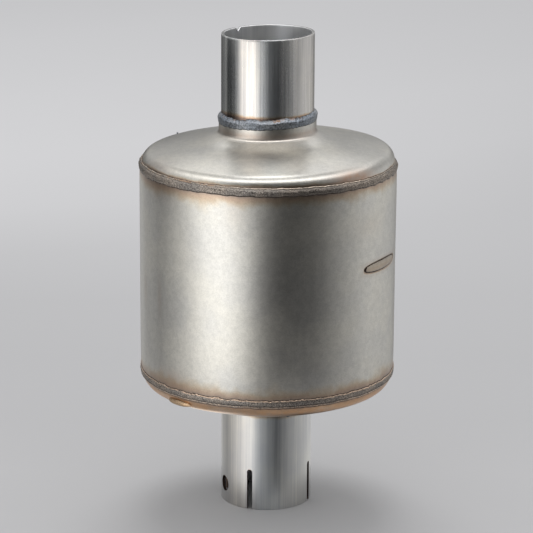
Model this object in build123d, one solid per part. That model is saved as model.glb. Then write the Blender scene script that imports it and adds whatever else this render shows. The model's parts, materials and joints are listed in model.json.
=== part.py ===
from build123d import *
from math import cos, radians, sin, sqrt
import os

# Spark arrestor for a small engine's exhaust, stood on the rim of its inlet tube.
# The origin is the middle of that rim, +Z runs along the gas flow to the outlet, units are mm.
# An angle on the body is counted from the front (-Y) towards +X.

# Pipe fit and tubes
PIPE_DIAMETER = 50.8            # exhaust pipe that slips into either tube
PIPE_CLEARANCE = 0.2            # radial room round that pipe
TUBE_WALL = 1.65
OVERALL_LENGTH = 285.8          # inlet rim to outlet rim
INLET_TUBE_REACH = 11.7         # inlet tube beyond the inner end of its cap's neck
OUTLET_TUBE_TAIL = 3.7          # outlet tube below the middle of the baffle's dish

# Clamp slots and cross hole at the inlet rim
SLOT_COUNT = 4
SLOT_WIDTH = 3.4
SLOT_LENGTH = 25.0
SLOT_START_ANGLE = -21.0
PIN_HOLE_DIAMETER = 9.5
PIN_HOLE_HEIGHT = 11.3

# Saw nick left in the outlet rim
NICK_ANGLE = -137.0
NICK_WIDTH = 3.6
NICK_DEPTH = 2.2

# Body shell, rolled from sheet and butt welded at the back
SHELL_DIAMETER = 152.4
SHELL_WALL = 1.2
SHELL_HEIGHT = 81.8             # lower edge of the shell above the inlet rim
SHELL_DEPTH = 77.0              # upper edge of the shell below the outlet rim
SEAM_ANGLE = 180.0
SEAM_GAP = 1.2
SEAM_BEAD_WIDTH = 4.6
SEAM_BEAD_RISE = 0.5

# Drawn end caps, their skirts set inside the shell
CAP_WALL = 1.5
CAP_CLEARANCE = 0.1             # radial room between a skirt and the shell
CAP_SKIRT_DEPTH = 9.0           # how far a skirt reaches into the shell
CAP_SKIRT_SHOWN = 1.4           # straight part of the inlet cap's skirt beyond the shell
OUTLET_SKIRT_SHOWN = 0.2
CAP_SHOULDER_RADIUS = 7.0       # outlet cap
CAP_DOME_RADIUS = 225.0
INLET_SHOULDER_RADIUS = 7.0     # inlet cap, a slightly rounder pressing
INLET_DOME_RADIUS = 200.0
NECK_CLEARANCE = 0.1            # radial room between a drawn neck and its tube
NECK_WALL = 1.35                # the sheet thins where the neck is drawn
NECK_RISE = 10.2                # outlet neck above the dome
NECK_FILLET = 2.2
NECK_STEP_OFFSET = 2.5          # coined ring's crest from the outlet neck's side
NECK_STEP_RISE = 1.9
NECK_STEP_WIDTH = 3.0
INLET_NECK_DEPTH = 7.5          # inlet neck, drawn inwards
INLET_NECK_BEND = 3.0

# Outside weld beads
CAP_BEAD_ON_SHELL = 3.3         # reach along the shell from its edge
CAP_BEAD_ON_CAP = 2.6           # reach along the cap from the shell's edge
OUTLET_BEAD_RISE = 0.9          # outlet cap's bead above the shell's outside
INLET_BEAD_RISE = 0.3           # inlet cap's bead, nearly flush
NECK_BEAD_HEIGHT = 7.0
NECK_BEAD_RISE = 1.9            # above the tube's outside
NECK_BEAD_LAP = 2.2             # how far the bead runs down over the neck's edge
INLET_BEAD_DROP = 2.8           # below the inlet cap
INLET_BEAD_WIDTH = 4.6
INLET_DROP_ANGLE = 27.5         # drop of weld metal that hangs from this bead
INLET_DROP_RADIUS = 1.7
DRIP_ANGLE = -43.5              # run of weld metal that hung under the inlet cap's bead
DRIP_SPAN = 13.0
DRIP_RISE = 1.9
DRIP_HEIGHT = 4.2

# Swirler in the inner end of the inlet tube
SLEEVE_WALL = 1.5
SLEEVE_CLEARANCE = 0.1          # radial room between the sleeve and the inlet tube
SLEEVE_LAP = 8.0                # length of sleeve on the tube
SLEEVE_MARGIN = 2.4             # sleeve beyond the vanes' trailing edges
HUB_DIAMETER = 18.0
HUB_WALL = 1.5
VANE_COUNT = 6
VANE_THICKNESS = 1.5
VANE_HEIGHT = 22.0
VANE_TWIST = 46.0               # turn from the leading to the trailing edge
VANE_TIP_CLEARANCE = 0.1
NOSE_CLEARANCE = 0.6            # hub's nose beyond the inlet tube's end
VANE_SECTIONS = 7
TACK_RADIUS = 1.7
SLEEVE_BEAD = 2.6

# Carbon trap: dished baffle between the shell and the outlet tube
BAFFLE_WALL = 1.5
BAFFLE_CLEARANCE = 0.1
BAFFLE_DEPTH = 52.8             # middle of its outer flange below the shell's upper edge
BAFFLE_FLANGE = 11.0
BAFFLE_BEND = 2.0
BAFFLE_DISH = 9.0               # how much lower the dish is at its middle
BAFFLE_COLLAR = 7.5             # inner collar, turned up round the outlet tube
PORT_COUNT = 8
PORT_WIDTH = 8.0                # radial width of a carbon port
PORT_SPAN = 26.0                # angle that one port takes
PORT_INSET = 7.5                # from the shell's inside to the port's outer edge
BAFFLE_BEAD = 2.6

# Plug welds that hold the baffle through the shell
PLUG_COUNT = 2
PLUG_ANGLE = 62.0
PLUG_LENGTH = 38.5
PLUG_HEIGHT = 6.0
PLUG_RISE = 0.3

# Sizes that follow
TUBE_INNER = PIPE_DIAMETER / 2 + PIPE_CLEARANCE
TUBE_OUTER = TUBE_INNER + TUBE_WALL
SHELL_OUTER = SHELL_DIAMETER / 2
SHELL_INNER = SHELL_OUTER - SHELL_WALL
SHELL_TOP = OVERALL_LENGTH - SHELL_DEPTH
SHELL_LENGTH = SHELL_TOP - SHELL_HEIGHT
CAP_OUTER = SHELL_INNER - CAP_CLEARANCE
OUTLET_CAP_BASE = SHELL_TOP + OUTLET_SKIRT_SHOWN
INLET_CAP_BASE = SHELL_HEIGHT - CAP_SKIRT_SHOWN
NECK_INNER = TUBE_OUTER + NECK_CLEARANCE
NECK_OUTER = NECK_INNER + NECK_WALL
NECK_STEP_RADIUS = NECK_OUTER + NECK_STEP_OFFSET
INLET_LIP_RADIUS = NECK_OUTER + INLET_NECK_BEND
OUTLET_PRESSING = (CAP_SHOULDER_RADIUS, CAP_DOME_RADIUS)
INLET_PRESSING = (INLET_SHOULDER_RADIUS, INLET_DOME_RADIUS)
INLET_REACH = sqrt(
    (INLET_DOME_RADIUS - INLET_SHOULDER_RADIUS) ** 2 - (CAP_OUTER - INLET_SHOULDER_RADIUS) ** 2
)
INLET_LIP = sqrt(INLET_DOME_RADIUS**2 - INLET_LIP_RADIUS**2) - INLET_REACH
INLET_TUBE_LENGTH = INLET_CAP_BASE - INLET_LIP + INLET_NECK_DEPTH + CAP_WALL + INLET_TUBE_REACH
SLEEVE_INNER = TUBE_OUTER + SLEEVE_CLEARANCE
SLEEVE_OUTER = SLEEVE_INNER + SLEEVE_WALL
SLEEVE_BASE = INLET_TUBE_LENGTH - SLEEVE_LAP
HUB_OUTER = HUB_DIAMETER / 2
VANE_BASE = INLET_TUBE_LENGTH + NOSE_CLEARANCE + HUB_OUTER
VANE_TOP = VANE_BASE + VANE_HEIGHT
SLEEVE_TOP = VANE_TOP + SLEEVE_MARGIN
BAFFLE_OUTER = SHELL_INNER - BAFFLE_CLEARANCE
BAFFLE_HEIGHT = SHELL_TOP - BAFFLE_DEPTH
DISH_EDGE = BAFFLE_HEIGHT - BAFFLE_FLANGE / 2
DISH_MIDDLE = DISH_EDGE - BAFFLE_DISH
OUTLET_TUBE_BASE = DISH_MIDDLE - OUTLET_TUBE_TAIL
COLLAR_INNER = TUBE_OUTER + BAFFLE_CLEARANCE
COLLAR_OUTER = COLLAR_INNER + BAFFLE_WALL


def turned(outline):
    """Solid turned about Z from a closed outline in the XZ plane."""
    return revolve(Plane.XZ * make_face(outline), Axis.Z)


def tube(inner, outer, base, top):
    """Plain tube about Z."""
    return turned(Polyline((inner, base), (outer, base), (outer, top), (inner, top), close=True))


def at_angle(angle, radius, height):
    """Place on the body whose Z axis points outwards and whose Y axis points up."""
    turn = radians(angle)
    outward = (sin(turn), -cos(turn), 0)
    return Location(Plane(
        origin=(radius * outward[0], radius * outward[1], height),
        x_dir=(cos(turn), sin(turn), 0),
        z_dir=outward,
    ))


def only_solid(shape):
    """The largest solid of a boolean's result, without stray slivers."""
    return max(shape.solids(), key=lambda solid: solid.volume)


# Outlet tube, with the nick in its rim
outlet_tube = tube(TUBE_INNER, TUBE_OUTER, OUTLET_TUBE_BASE, OVERALL_LENGTH)
nick = extrude(
    make_face(Polyline(
        (-NICK_WIDTH / 2, 0.5), (0, -NICK_DEPTH), (NICK_WIDTH / 2, 0.5), close=True
    )),
    amount=TUBE_WALL * 2,
    both=True,
)
outlet_tube -= at_angle(NICK_ANGLE, (TUBE_INNER + TUBE_OUTER) / 2, OVERALL_LENGTH) * nick

# Inlet tube, with clamp slots open at the rim and one cross hole between two of them
inlet_tube = tube(TUBE_INNER, TUBE_OUTER, 0, INLET_TUBE_LENGTH)
slot_centre = (SLOT_LENGTH - SLOT_WIDTH / 2) / 2
slot_outline = Pos(0, slot_centre - 1) * Rectangle(SLOT_WIDTH, 2 * slot_centre + 2)
slot_outline += Pos(0, SLOT_LENGTH - SLOT_WIDTH / 2) * Circle(SLOT_WIDTH / 2)
slot_cut = extrude(slot_outline, amount=TUBE_WALL * 2, both=True)
pin_cut = extrude(Circle(PIN_HOLE_DIAMETER / 2), amount=TUBE_WALL * 2, both=True)
for index in range(SLOT_COUNT):
    slot_angle = SLOT_START_ANGLE + index * 360 / SLOT_COUNT
    inlet_tube -= at_angle(slot_angle, (TUBE_INNER + TUBE_OUTER) / 2, 0) * slot_cut
pin_angle = SLOT_START_ANGLE - 180 / SLOT_COUNT
inlet_tube -= at_angle(pin_angle, (TUBE_INNER + TUBE_OUTER) / 2, PIN_HOLE_HEIGHT) * pin_cut


def dome_height(radius, pressing, skin=0.0):
    """Height of a cap's dome above its shoulder's centre, at a radius from the axis.

    pressing is the cap's shoulder and dome radius, and skin the depth below its outside.
    """
    shoulder, dome = pressing
    reach = sqrt((dome - shoulder) ** 2 - (CAP_OUTER - shoulder) ** 2)
    return sqrt((dome - skin) ** 2 - radius**2) - reach


def skirt_and_dome(pressing, skin, edge):
    """Skirt, shoulder and dome as one chain that ends at the radius edge.

    skin is the depth below the outside of the sheet. Heights count from the
    shoulder's centre, and the dome rises towards +Y.
    """
    outer = CAP_OUTER - skin
    shoulder = pressing[0] - skin
    centre = CAP_OUTER - pressing[0]
    lean = centre / (pressing[1] - pressing[0])
    start = (outer, -CAP_SKIRT_SHOWN - CAP_SKIRT_DEPTH)
    bend = (centre + shoulder * lean, shoulder * sqrt(1 - lean**2))
    middle = (centre + shoulder * sin(radians(50)), shoulder * cos(radians(50)))
    half = (edge + bend[0]) / 2
    return [
        Line(start, (outer, 0)),
        ThreePointArc((outer, 0), middle, bend),
        ThreePointArc(
            bend,
            (half, dome_height(half, pressing, skin)),
            (edge, dome_height(edge, pressing, skin)),
        ),
    ]


# Outlet cap: domed, with a coined ring and a neck drawn outwards round the tube
step_outside = NECK_STEP_RADIUS + NECK_STEP_WIDTH
crest = dome_height(NECK_STEP_RADIUS, OUTLET_PRESSING) + NECK_STEP_RISE
neck_top = dome_height(NECK_OUTER, OUTLET_PRESSING) + NECK_RISE
under_step = crest - CAP_WALL
fillet_corner = 1 - sin(radians(45))
outside = skirt_and_dome(OUTLET_PRESSING, 0, step_outside)
inside = skirt_and_dome(OUTLET_PRESSING, CAP_WALL, step_outside)
neck_outside = [
    Line(outside[-1] @ 1, (NECK_STEP_RADIUS, crest)),
    ThreePointArc(
        (NECK_STEP_RADIUS, crest),
        (NECK_OUTER + NECK_FILLET * fillet_corner, crest + NECK_FILLET * fillet_corner),
        (NECK_OUTER, crest + NECK_FILLET),
    ),
    Line((NECK_OUTER, crest + NECK_FILLET), (NECK_OUTER, neck_top)),
]
inner_bend = NECK_FILLET + NECK_WALL
neck_inside = [
    Polyline(
        inside[-1] @ 1,
        (NECK_INNER + inner_bend, under_step),
        (NECK_INNER + inner_bend * fillet_corner, under_step + inner_bend * fillet_corner),
        (NECK_INNER, under_step + inner_bend),
        (NECK_INNER, neck_top),
    ),
]
outlet_outline = outside + neck_outside + inside + neck_inside
outlet_outline += [
    Line(outside[0] @ 0, inside[0] @ 0),
    Line((NECK_OUTER, neck_top), (NECK_INNER, neck_top)),
]
outlet_cap = Pos(0, 0, OUTLET_CAP_BASE) * turned(outlet_outline)

# Inlet cap: domed downwards, with its neck drawn inwards round the tube
outside = skirt_and_dome(INLET_PRESSING, 0, INLET_LIP_RADIUS)
inside = skirt_and_dome(INLET_PRESSING, CAP_WALL, INLET_LIP_RADIUS)
under_lip = dome_height(INLET_LIP_RADIUS, INLET_PRESSING, CAP_WALL)
lip_bend = INLET_NECK_BEND + NECK_WALL
neck_end = INLET_LIP - INLET_NECK_DEPTH - CAP_WALL
inlet_neck = [
    Polyline(
        (INLET_LIP_RADIUS, INLET_LIP),
        (NECK_INNER + lip_bend * fillet_corner, INLET_LIP - lip_bend * fillet_corner),
        (NECK_INNER, INLET_LIP - lip_bend),
        (NECK_INNER, neck_end),
        (NECK_OUTER, neck_end),
        (NECK_OUTER, under_lip - INLET_NECK_BEND),
        (
            NECK_OUTER + INLET_NECK_BEND * fillet_corner,
            under_lip - INLET_NECK_BEND * fillet_corner,
        ),
        (INLET_LIP_RADIUS, under_lip),
    ),
]
inlet_outline = outside + inside + inlet_neck + [Line(outside[0] @ 0, inside[0] @ 0)]
inlet_cap = Pos(0, 0, INLET_CAP_BASE) * Rot(180, 0, 0) * turned(inlet_outline)

# Shell: rolled sheet with an open butt seam and a slot for each plug weld
shell = tube(SHELL_INNER, SHELL_OUTER, SHELL_HEIGHT, SHELL_TOP)
shell_middle = (SHELL_HEIGHT + SHELL_TOP) / 2
seam_cut = extrude(Rectangle(SEAM_GAP, SHELL_LENGTH + 2), amount=SHELL_WALL * 3, both=True)
shell -= at_angle(SEAM_ANGLE, SHELL_OUTER, shell_middle) * seam_cut


def plug_prism(angle):
    """Race-track prism through the shell, of a plug weld's true length along the arc."""
    chord = 2 * SHELL_OUTER * sin(PLUG_LENGTH / SHELL_OUTER / 2)
    prism = extrude(SlotOverall(chord, PLUG_HEIGHT), amount=SHELL_OUTER)
    return at_angle(angle, SHELL_OUTER / 4, BAFFLE_HEIGHT) * prism


plug_angles = [PLUG_ANGLE + index * 360 / PLUG_COUNT for index in range(PLUG_COUNT)]
for angle in plug_angles:
    shell -= plug_prism(angle)

# Plug welds: each fills its slot down to the baffle's flange and stands a little proud
plug_ring = tube(
    BAFFLE_OUTER,
    SHELL_OUTER + PLUG_RISE,
    BAFFLE_HEIGHT - PLUG_HEIGHT,
    BAFFLE_HEIGHT + PLUG_HEIGHT,
)
baffle_plug_welds = Compound([only_solid(plug_ring & plug_prism(angle)) for angle in plug_angles])


def cap_bead(edge, way, rise, root):
    """Bead round the shell's edge, way +1 at the outlet cap and -1 at the inlet cap.

    root is the radius that its section reaches in to.
    """
    crown = SHELL_OUTER + rise
    flat = CAP_BEAD_ON_SHELL - rise
    return turned(Polyline(
        (SHELL_OUTER, edge - way * CAP_BEAD_ON_SHELL),
        (crown, edge - way * flat),
        (crown, edge + way * (CAP_BEAD_ON_CAP - rise - SHELL_WALL)),
        (root, edge + way * CAP_BEAD_ON_CAP),
        (root, edge),
        (SHELL_OUTER, edge),
        close=True,
    ))


outlet_root = CAP_OUTER - CAP_WALL / 2
outlet_cap_weld = only_solid(cap_bead(SHELL_TOP, 1, OUTLET_BEAD_RISE, outlet_root) - outlet_cap)
inlet_cap_weld = cap_bead(SHELL_HEIGHT, -1, INLET_BEAD_RISE, CAP_OUTER)

# The run of metal under the inlet cap's bead, an arc of a lens against the shoulder
drip_top = SHELL_HEIGHT - CAP_BEAD_ON_CAP * 0.5
drip_low = drip_top - DRIP_HEIGHT
drip_face = make_face([
    ThreePointArc(
        (CAP_OUTER - 1.5, drip_low),
        (CAP_OUTER + DRIP_RISE, drip_top - DRIP_HEIGHT * 0.55),
        (CAP_OUTER + 0.3, drip_top),
    ),
    Line((CAP_OUTER + 0.3, drip_top), (CAP_OUTER - 1.5, drip_top)),
    Line((CAP_OUTER - 1.5, drip_top), (CAP_OUTER - 1.5, drip_low)),
])
drip = revolve(Plane.XZ * drip_face, Axis.Z, revolution_arc=DRIP_SPAN)
drip = Rot(0, 0, DRIP_ANGLE - 90 - DRIP_SPAN / 2) * drip
inlet_cap_weld = only_solid((inlet_cap_weld + drip) - inlet_cap)

# Seam weld: fills the butt gap, stands proud outside and stops at the two end beads
seam_face = make_face([
    ThreePointArc(
        (-SEAM_BEAD_WIDTH / 2, -SHELL_WALL / 4),
        (0, SEAM_BEAD_RISE),
        (SEAM_BEAD_WIDTH / 2, -SHELL_WALL / 4),
    ),
    Polyline(
        (SEAM_BEAD_WIDTH / 2, -SHELL_WALL / 4),
        (SEAM_GAP / 2, -SHELL_WALL / 4),
        (SEAM_GAP / 2, -SHELL_WALL * 2),
        (-SEAM_GAP / 2, -SHELL_WALL * 2),
        (-SEAM_GAP / 2, -SHELL_WALL / 4),
        (-SEAM_BEAD_WIDTH / 2, -SHELL_WALL / 4),
    ),
])
seam = Pos(0, SHELL_OUTER, SHELL_HEIGHT) * extrude(seam_face, amount=SHELL_LENGTH)
seam = Rot(0, 0, SEAM_ANGLE - 180) * seam
shell_inside = Pos(0, 0, shell_middle) * Cylinder(SHELL_INNER, SHELL_LENGTH * 2)
shell_seam_weld = only_solid(seam - shell - shell_inside - outlet_cap_weld - inlet_cap_weld)

# Bead where the outlet cap's neck meets the tube, lapped over the neck's edge
neck_edge = OUTLET_CAP_BASE + neck_top
bead_base = neck_edge - NECK_BEAD_LAP
bead_top = bead_base + NECK_BEAD_HEIGHT
bead_side = TUBE_OUTER + NECK_BEAD_RISE
bead_round = NECK_BEAD_RISE * 0.8
outlet_tube_weld = turned(Polyline(
    (TUBE_OUTER, bead_top),
    (TUBE_OUTER, neck_edge),
    (NECK_OUTER, neck_edge),
    (NECK_OUTER, bead_base),
    (bead_side, bead_base + (bead_side - NECK_OUTER)),
    (bead_side, bead_top - bead_round),
    (bead_side - NECK_BEAD_RISE * 0.4, bead_top - bead_round * 0.3),
    close=True,
))

# Fillet bead where the inlet tube meets the lip of the inlet cap, with one hanging drop
lip_height = INLET_CAP_BASE - INLET_LIP
inlet_bead = turned(Polyline(
    (TUBE_OUTER, lip_height - INLET_BEAD_DROP),
    (TUBE_OUTER, lip_height + lip_bend * 0.6),
    (TUBE_OUTER + INLET_BEAD_WIDTH, lip_height + lip_bend * 0.6),
    (TUBE_OUTER + INLET_BEAD_WIDTH, lip_height),
    (TUBE_OUTER + INLET_BEAD_WIDTH * 0.6, lip_height - INLET_BEAD_DROP * 0.7),
    close=True,
))
drop_place = at_angle(
    INLET_DROP_ANGLE,
    TUBE_OUTER + INLET_DROP_RADIUS * 0.4,
    lip_height - INLET_BEAD_DROP - INLET_DROP_RADIUS * 0.6,
)
inlet_bead += drop_place * Sphere(INLET_DROP_RADIUS)
tube_space = Pos(0, 0, INLET_TUBE_LENGTH / 2) * Cylinder(TUBE_OUTER, INLET_TUBE_LENGTH)
inlet_tube_weld = only_solid(inlet_bead - inlet_cap - tube_space)

# Swirler sleeve, slipped over the inner end of the inlet tube, and its fillet bead
swirl_sleeve = tube(SLEEVE_INNER, SLEEVE_OUTER, SLEEVE_BASE, SLEEVE_TOP)
sleeve_weld = turned(Polyline(
    (TUBE_OUTER, SLEEVE_BASE - SLEEVE_BEAD),
    (TUBE_OUTER + SLEEVE_BEAD * 0.5, SLEEVE_BASE - SLEEVE_BEAD * 0.75),
    (SLEEVE_OUTER, SLEEVE_BASE),
    (TUBE_OUTER, SLEEVE_BASE),
    close=True,
))


# Hub of the swirler: a drawn cup whose round nose points at the inlet
hub_inner = HUB_OUTER - HUB_WALL
spinner_hub = turned([
    CenterArc((0, VANE_BASE), HUB_OUTER, 270, 90),
    Polyline((HUB_OUTER, VANE_BASE), (HUB_OUTER, VANE_TOP), (hub_inner, VANE_TOP)),
    Line((hub_inner, VANE_TOP), (hub_inner, VANE_BASE)),
    CenterArc((0, VANE_BASE), hub_inner, 270, 90),
    Line((0, VANE_BASE - hub_inner), (0, VANE_BASE - HUB_OUTER)),
])


def vane_section(share):
    """Cross-section of one vane, at a share of its height from the leading edge.

    The vane starts along the gas flow and turns with the square of its height. The
    section is widened along the turn, so that the sheet keeps its thickness.
    """
    turn = VANE_TWIST * share**2
    turn_rate = 2 * radians(VANE_TWIST) * share / VANE_HEIGHT
    root = HUB_OUTER - 1
    tip = SLEEVE_INNER + 1
    root_half = VANE_THICKNESS / 2 * sqrt(1 + (root * turn_rate) ** 2)
    tip_half = VANE_THICKNESS / 2 * sqrt(1 + (tip * turn_rate) ** 2)
    outline = Polyline(
        (root, -root_half), (tip, -tip_half), (tip, tip_half), (root, root_half), close=True
    )
    return Pos(0, 0, VANE_BASE + VANE_HEIGHT * share) * Rot(0, 0, turn) * make_face(outline)


# Swirl vanes, twisted sheet between the hub and the sleeve
vane_sections = [vane_section(index / (VANE_SECTIONS - 1)) for index in range(VANE_SECTIONS)]
vane_space = tube(HUB_OUTER, SLEEVE_INNER - VANE_TIP_CLEARANCE, VANE_BASE - 1, VANE_TOP + 1)
first_vane = only_solid(loft(vane_sections) & vane_space)
vane_angles = [index * 360 / VANE_COUNT for index in range(VANE_COUNT)]
swirl_vanes = [Rot(0, 0, angle) * first_vane for angle in vane_angles]

# Tack welds at the trailing edge of each vane, at its tip and at its root
tack = Cylinder(TACK_RADIUS, TACK_RADIUS * 2)
rim_tacks = []
hub_tacks = []
for angle, vane in zip(vane_angles, swirl_vanes):
    trailing = Rot(0, 0, angle + VANE_TWIST)
    rim_tack = trailing * Pos(SLEEVE_INNER, 0, VANE_TOP) * Rot(0, 90, 0) * tack
    hub_tack = trailing * Pos(HUB_OUTER, 0, VANE_TOP - TACK_RADIUS) * Rot(0, 90, 0) * tack
    rim_tacks.append(only_solid(rim_tack - vane - swirl_sleeve))
    hub_tacks.append(only_solid(hub_tack - vane - spinner_hub))
vane_rim_welds = Compound(rim_tacks)
vane_hub_welds = Compound(hub_tacks)

# Trap baffle: flange up against the shell, dish towards the middle, collar on the outlet tube
collar_top = DISH_MIDDLE + BAFFLE_COLLAR
dish_slope = BAFFLE_DISH / (BAFFLE_OUTER - COLLAR_INNER)
baffle_line = Polyline(
    (BAFFLE_OUTER, BAFFLE_HEIGHT + BAFFLE_FLANGE / 2),
    (BAFFLE_OUTER, DISH_EDGE + BAFFLE_BEND),
    (BAFFLE_OUTER - BAFFLE_BEND, DISH_EDGE - BAFFLE_BEND * dish_slope),
    (COLLAR_INNER + BAFFLE_BEND, DISH_MIDDLE + BAFFLE_BEND * dish_slope),
    (COLLAR_INNER, DISH_MIDDLE + BAFFLE_BEND),
    (COLLAR_INNER, collar_top),
)
baffle_face = make_face(
    offset(baffle_line, BAFFLE_WALL, side=Side.RIGHT, closed=True, kind=Kind.INTERSECTION)
)
trap_baffle = revolve(Plane.XZ * baffle_face, Axis.Z)
port_radius = SHELL_INNER - PORT_INSET - PORT_WIDTH / 2
port_face = SlotArc(CenterArc((0, 0), port_radius, -PORT_SPAN / 2, PORT_SPAN), PORT_WIDTH)
port_cut = Pos(0, 0, DISH_EDGE) * extrude(port_face, amount=BAFFLE_DISH, both=True)
for index in range(PORT_COUNT):
    trap_baffle -= Rot(0, 0, index * 360 / PORT_COUNT) * port_cut

# Fillet bead between the baffle's collar and the outlet tube
baffle_tube_weld = turned(Polyline(
    (TUBE_OUTER, collar_top),
    (COLLAR_OUTER, collar_top),
    (TUBE_OUTER + BAFFLE_BEAD * 0.5, collar_top + BAFFLE_BEAD * 0.75),
    (TUBE_OUTER, collar_top + BAFFLE_BEAD),
    close=True,
))

nodes = {
    "shell": shell,
    "shell_seam_weld": shell_seam_weld,
    "outlet_cap": outlet_cap,
    "outlet_cap_weld": outlet_cap_weld,
    "inlet_cap": inlet_cap,
    "inlet_cap_weld": inlet_cap_weld,
    "outlet_tube": outlet_tube,
    "outlet_tube_weld": outlet_tube_weld,
    "inlet_tube": inlet_tube,
    "inlet_tube_weld": inlet_tube_weld,
    "swirl_sleeve": swirl_sleeve,
    "sleeve_weld": sleeve_weld,
    "spinner_hub": spinner_hub,
    "vane_rim_welds": vane_rim_welds,
    "vane_hub_welds": vane_hub_welds,
    "trap_baffle": trap_baffle,
    "baffle_plug_welds": baffle_plug_welds,
    "baffle_tube_weld": baffle_tube_weld,
}
for index, vane in enumerate(swirl_vanes, start=1):
    nodes[f"swirl_vane_{index}"] = vane

os.makedirs("parts", exist_ok=True)
for name, shape in nodes.items():
    export_step(shape, f"parts/{name}.step")
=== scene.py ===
import json
import logging
import math
from dataclasses import dataclass
from enum import Enum

import bmesh
import bpy
import numpy as np
from mathutils import Matrix, Vector

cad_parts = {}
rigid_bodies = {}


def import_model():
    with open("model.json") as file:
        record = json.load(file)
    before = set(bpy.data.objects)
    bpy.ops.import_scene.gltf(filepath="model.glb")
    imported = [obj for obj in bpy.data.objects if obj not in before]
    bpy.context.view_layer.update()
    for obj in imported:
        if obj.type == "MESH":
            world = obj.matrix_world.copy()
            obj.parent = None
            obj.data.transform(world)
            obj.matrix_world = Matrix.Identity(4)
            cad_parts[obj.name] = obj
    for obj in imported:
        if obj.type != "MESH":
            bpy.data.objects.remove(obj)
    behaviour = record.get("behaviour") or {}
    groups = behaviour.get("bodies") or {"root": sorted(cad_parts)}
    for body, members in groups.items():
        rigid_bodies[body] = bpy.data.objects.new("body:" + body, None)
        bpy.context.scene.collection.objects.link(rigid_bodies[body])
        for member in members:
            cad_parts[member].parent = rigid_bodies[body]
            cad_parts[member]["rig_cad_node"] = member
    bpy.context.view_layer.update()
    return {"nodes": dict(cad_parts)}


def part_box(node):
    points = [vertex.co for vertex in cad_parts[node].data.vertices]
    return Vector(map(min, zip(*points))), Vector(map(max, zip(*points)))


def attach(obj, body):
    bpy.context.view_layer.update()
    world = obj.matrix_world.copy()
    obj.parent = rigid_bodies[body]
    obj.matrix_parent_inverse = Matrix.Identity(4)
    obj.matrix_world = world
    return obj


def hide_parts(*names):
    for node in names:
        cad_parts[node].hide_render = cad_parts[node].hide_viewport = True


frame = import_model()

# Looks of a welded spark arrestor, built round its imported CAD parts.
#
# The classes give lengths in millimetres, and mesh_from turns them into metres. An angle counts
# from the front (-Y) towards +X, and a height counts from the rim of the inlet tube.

LOG = logging.getLogger("spark_arrestor")
MM = 0.001
TAU = 2 * math.pi
SHELL_WALL = 1.2
TUBE_WALL = 1.65
NECK_WALL = 1.35
NECK_CLEARANCE = 0.1
OVAL_POWER = 0.85
PRESSED_IN = 0.75
SHARP = 38.0
LUMP_SHARP = 60.0
BEAD_SHARP = 75.0
Array = np.ndarray
Colour = tuple[float, float, float]
Socket = bpy.types.NodeSocket


class Slot(Enum):
    """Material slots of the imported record."""

    BODY_SHEET = "body_sheet"
    TUBE_STEEL = "tube_steel"
    WELD_METAL = "weld_metal"
    NECK_WELD_METAL = "neck_weld_metal"


class End(Enum):
    """The two ends of the body, with the way each faces along Z."""

    OUTLET = 1
    INLET = -1


# Numbers and sections ---------------------------------------------------------------------------


def rows_of(width: int, *numbers: float) -> tuple[tuple[float, ...], ...]:
    """The numbers, cut into rows of a width."""
    return tuple(zip(*[iter(numbers)] * width))


def span_of(node: str) -> tuple[float, float, float]:
    """Outer radius and lowest and highest height of a CAD node about Z, in millimetres."""
    low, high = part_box(node)
    return high.x / MM, low.z / MM, high.z / MM


def smooth(value: Array, start: float, end: float) -> Array:
    """Smooth step 3t² - 2t³: 0 at start and 1 at end, which is lower for a falling step."""
    share = np.clip((value - start) / (end - start), 0.0, 1.0)
    return share * share * (3 - 2 * share)


def bell(value: Array, width: float) -> Array:
    """Bell curve: e to the power of minus the square of the value over the width."""
    return np.exp(-((value / width) ** 2))


def arc_from(angle: Array, centre: float, radius: float) -> Array:
    """Length along a surface from a centre in degrees to angles in radians, the short way."""
    return ((angle - math.radians(centre) + math.pi) % TAU - math.pi) * radius


def straight(start: tuple, end: tuple, step: float) -> Array:
    """Points of a straight run between two (radius, height) points, without the last one."""
    first, last = np.array(start, float), np.array(end, float)
    count = max(1, math.ceil(np.linalg.norm(last - first) / step))
    return first + (last - first) * np.arange(count)[:, None] / count


def bend(centre: tuple, radius: float, start: float, end: float, step: float) -> Array:
    """Points of an arc about a (radius, height) centre, without the last one.

    Args:
        centre: (radius, height) of the arc's centre.
        radius: radius of the arc.
        start: first angle in degrees, 0 outwards and 90 up.
        end: last angle in degrees.
        step: greatest spacing.

    Returns:
        Points, shape (n, 2).
    """
    count = max(2, math.ceil(abs(math.radians(end - start)) * radius / step))
    turn = np.radians(start + (end - start) * np.arange(count) / count)
    return np.stack([centre[0] + radius * np.cos(turn), centre[1] + radius * np.sin(turn)], 1)


def through(points: list[tuple], count: int) -> Array:
    """Smooth curve through (radius, height) points, without its last one.

    It is a Catmull-Rom curve: each stretch is the cubic whose slope at a point is half the step
    between that point's two neighbours.

    Args:
        points: (radius, height) pairs.
        count: points on each stretch.

    Returns:
        Points, shape (n, 2).
    """
    given = np.array(points, float)
    padded = np.vstack([2 * given[0] - given[1], given, 2 * given[-1] - given[-2]])
    before, start, end, after = (
        part[:, None, :] for part in (padded[:-3], padded[1:-2], padded[2:-1], padded[3:]))
    share = (np.arange(count) / count)[None, :, None]
    curve = 0.5 * (
        2 * start
        + (end - before) * share
        + (2 * before - 5 * start + 4 * end - after) * share**2
        + (3 * start - before - 3 * end + after) * share**3
    )
    return curve.reshape(-1, 2)


def outward(section: Array) -> Array:
    """Unit normals of a closed section that runs with its metal on the left of its tangent."""
    tangent = np.roll(section, -1, 0) - np.roll(section, 1, 0)
    normal = np.stack([tangent[:, 1], -tangent[:, 0]], 1)
    return normal / np.maximum(np.linalg.norm(normal, axis=1, keepdims=True), 1e-9)


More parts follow.
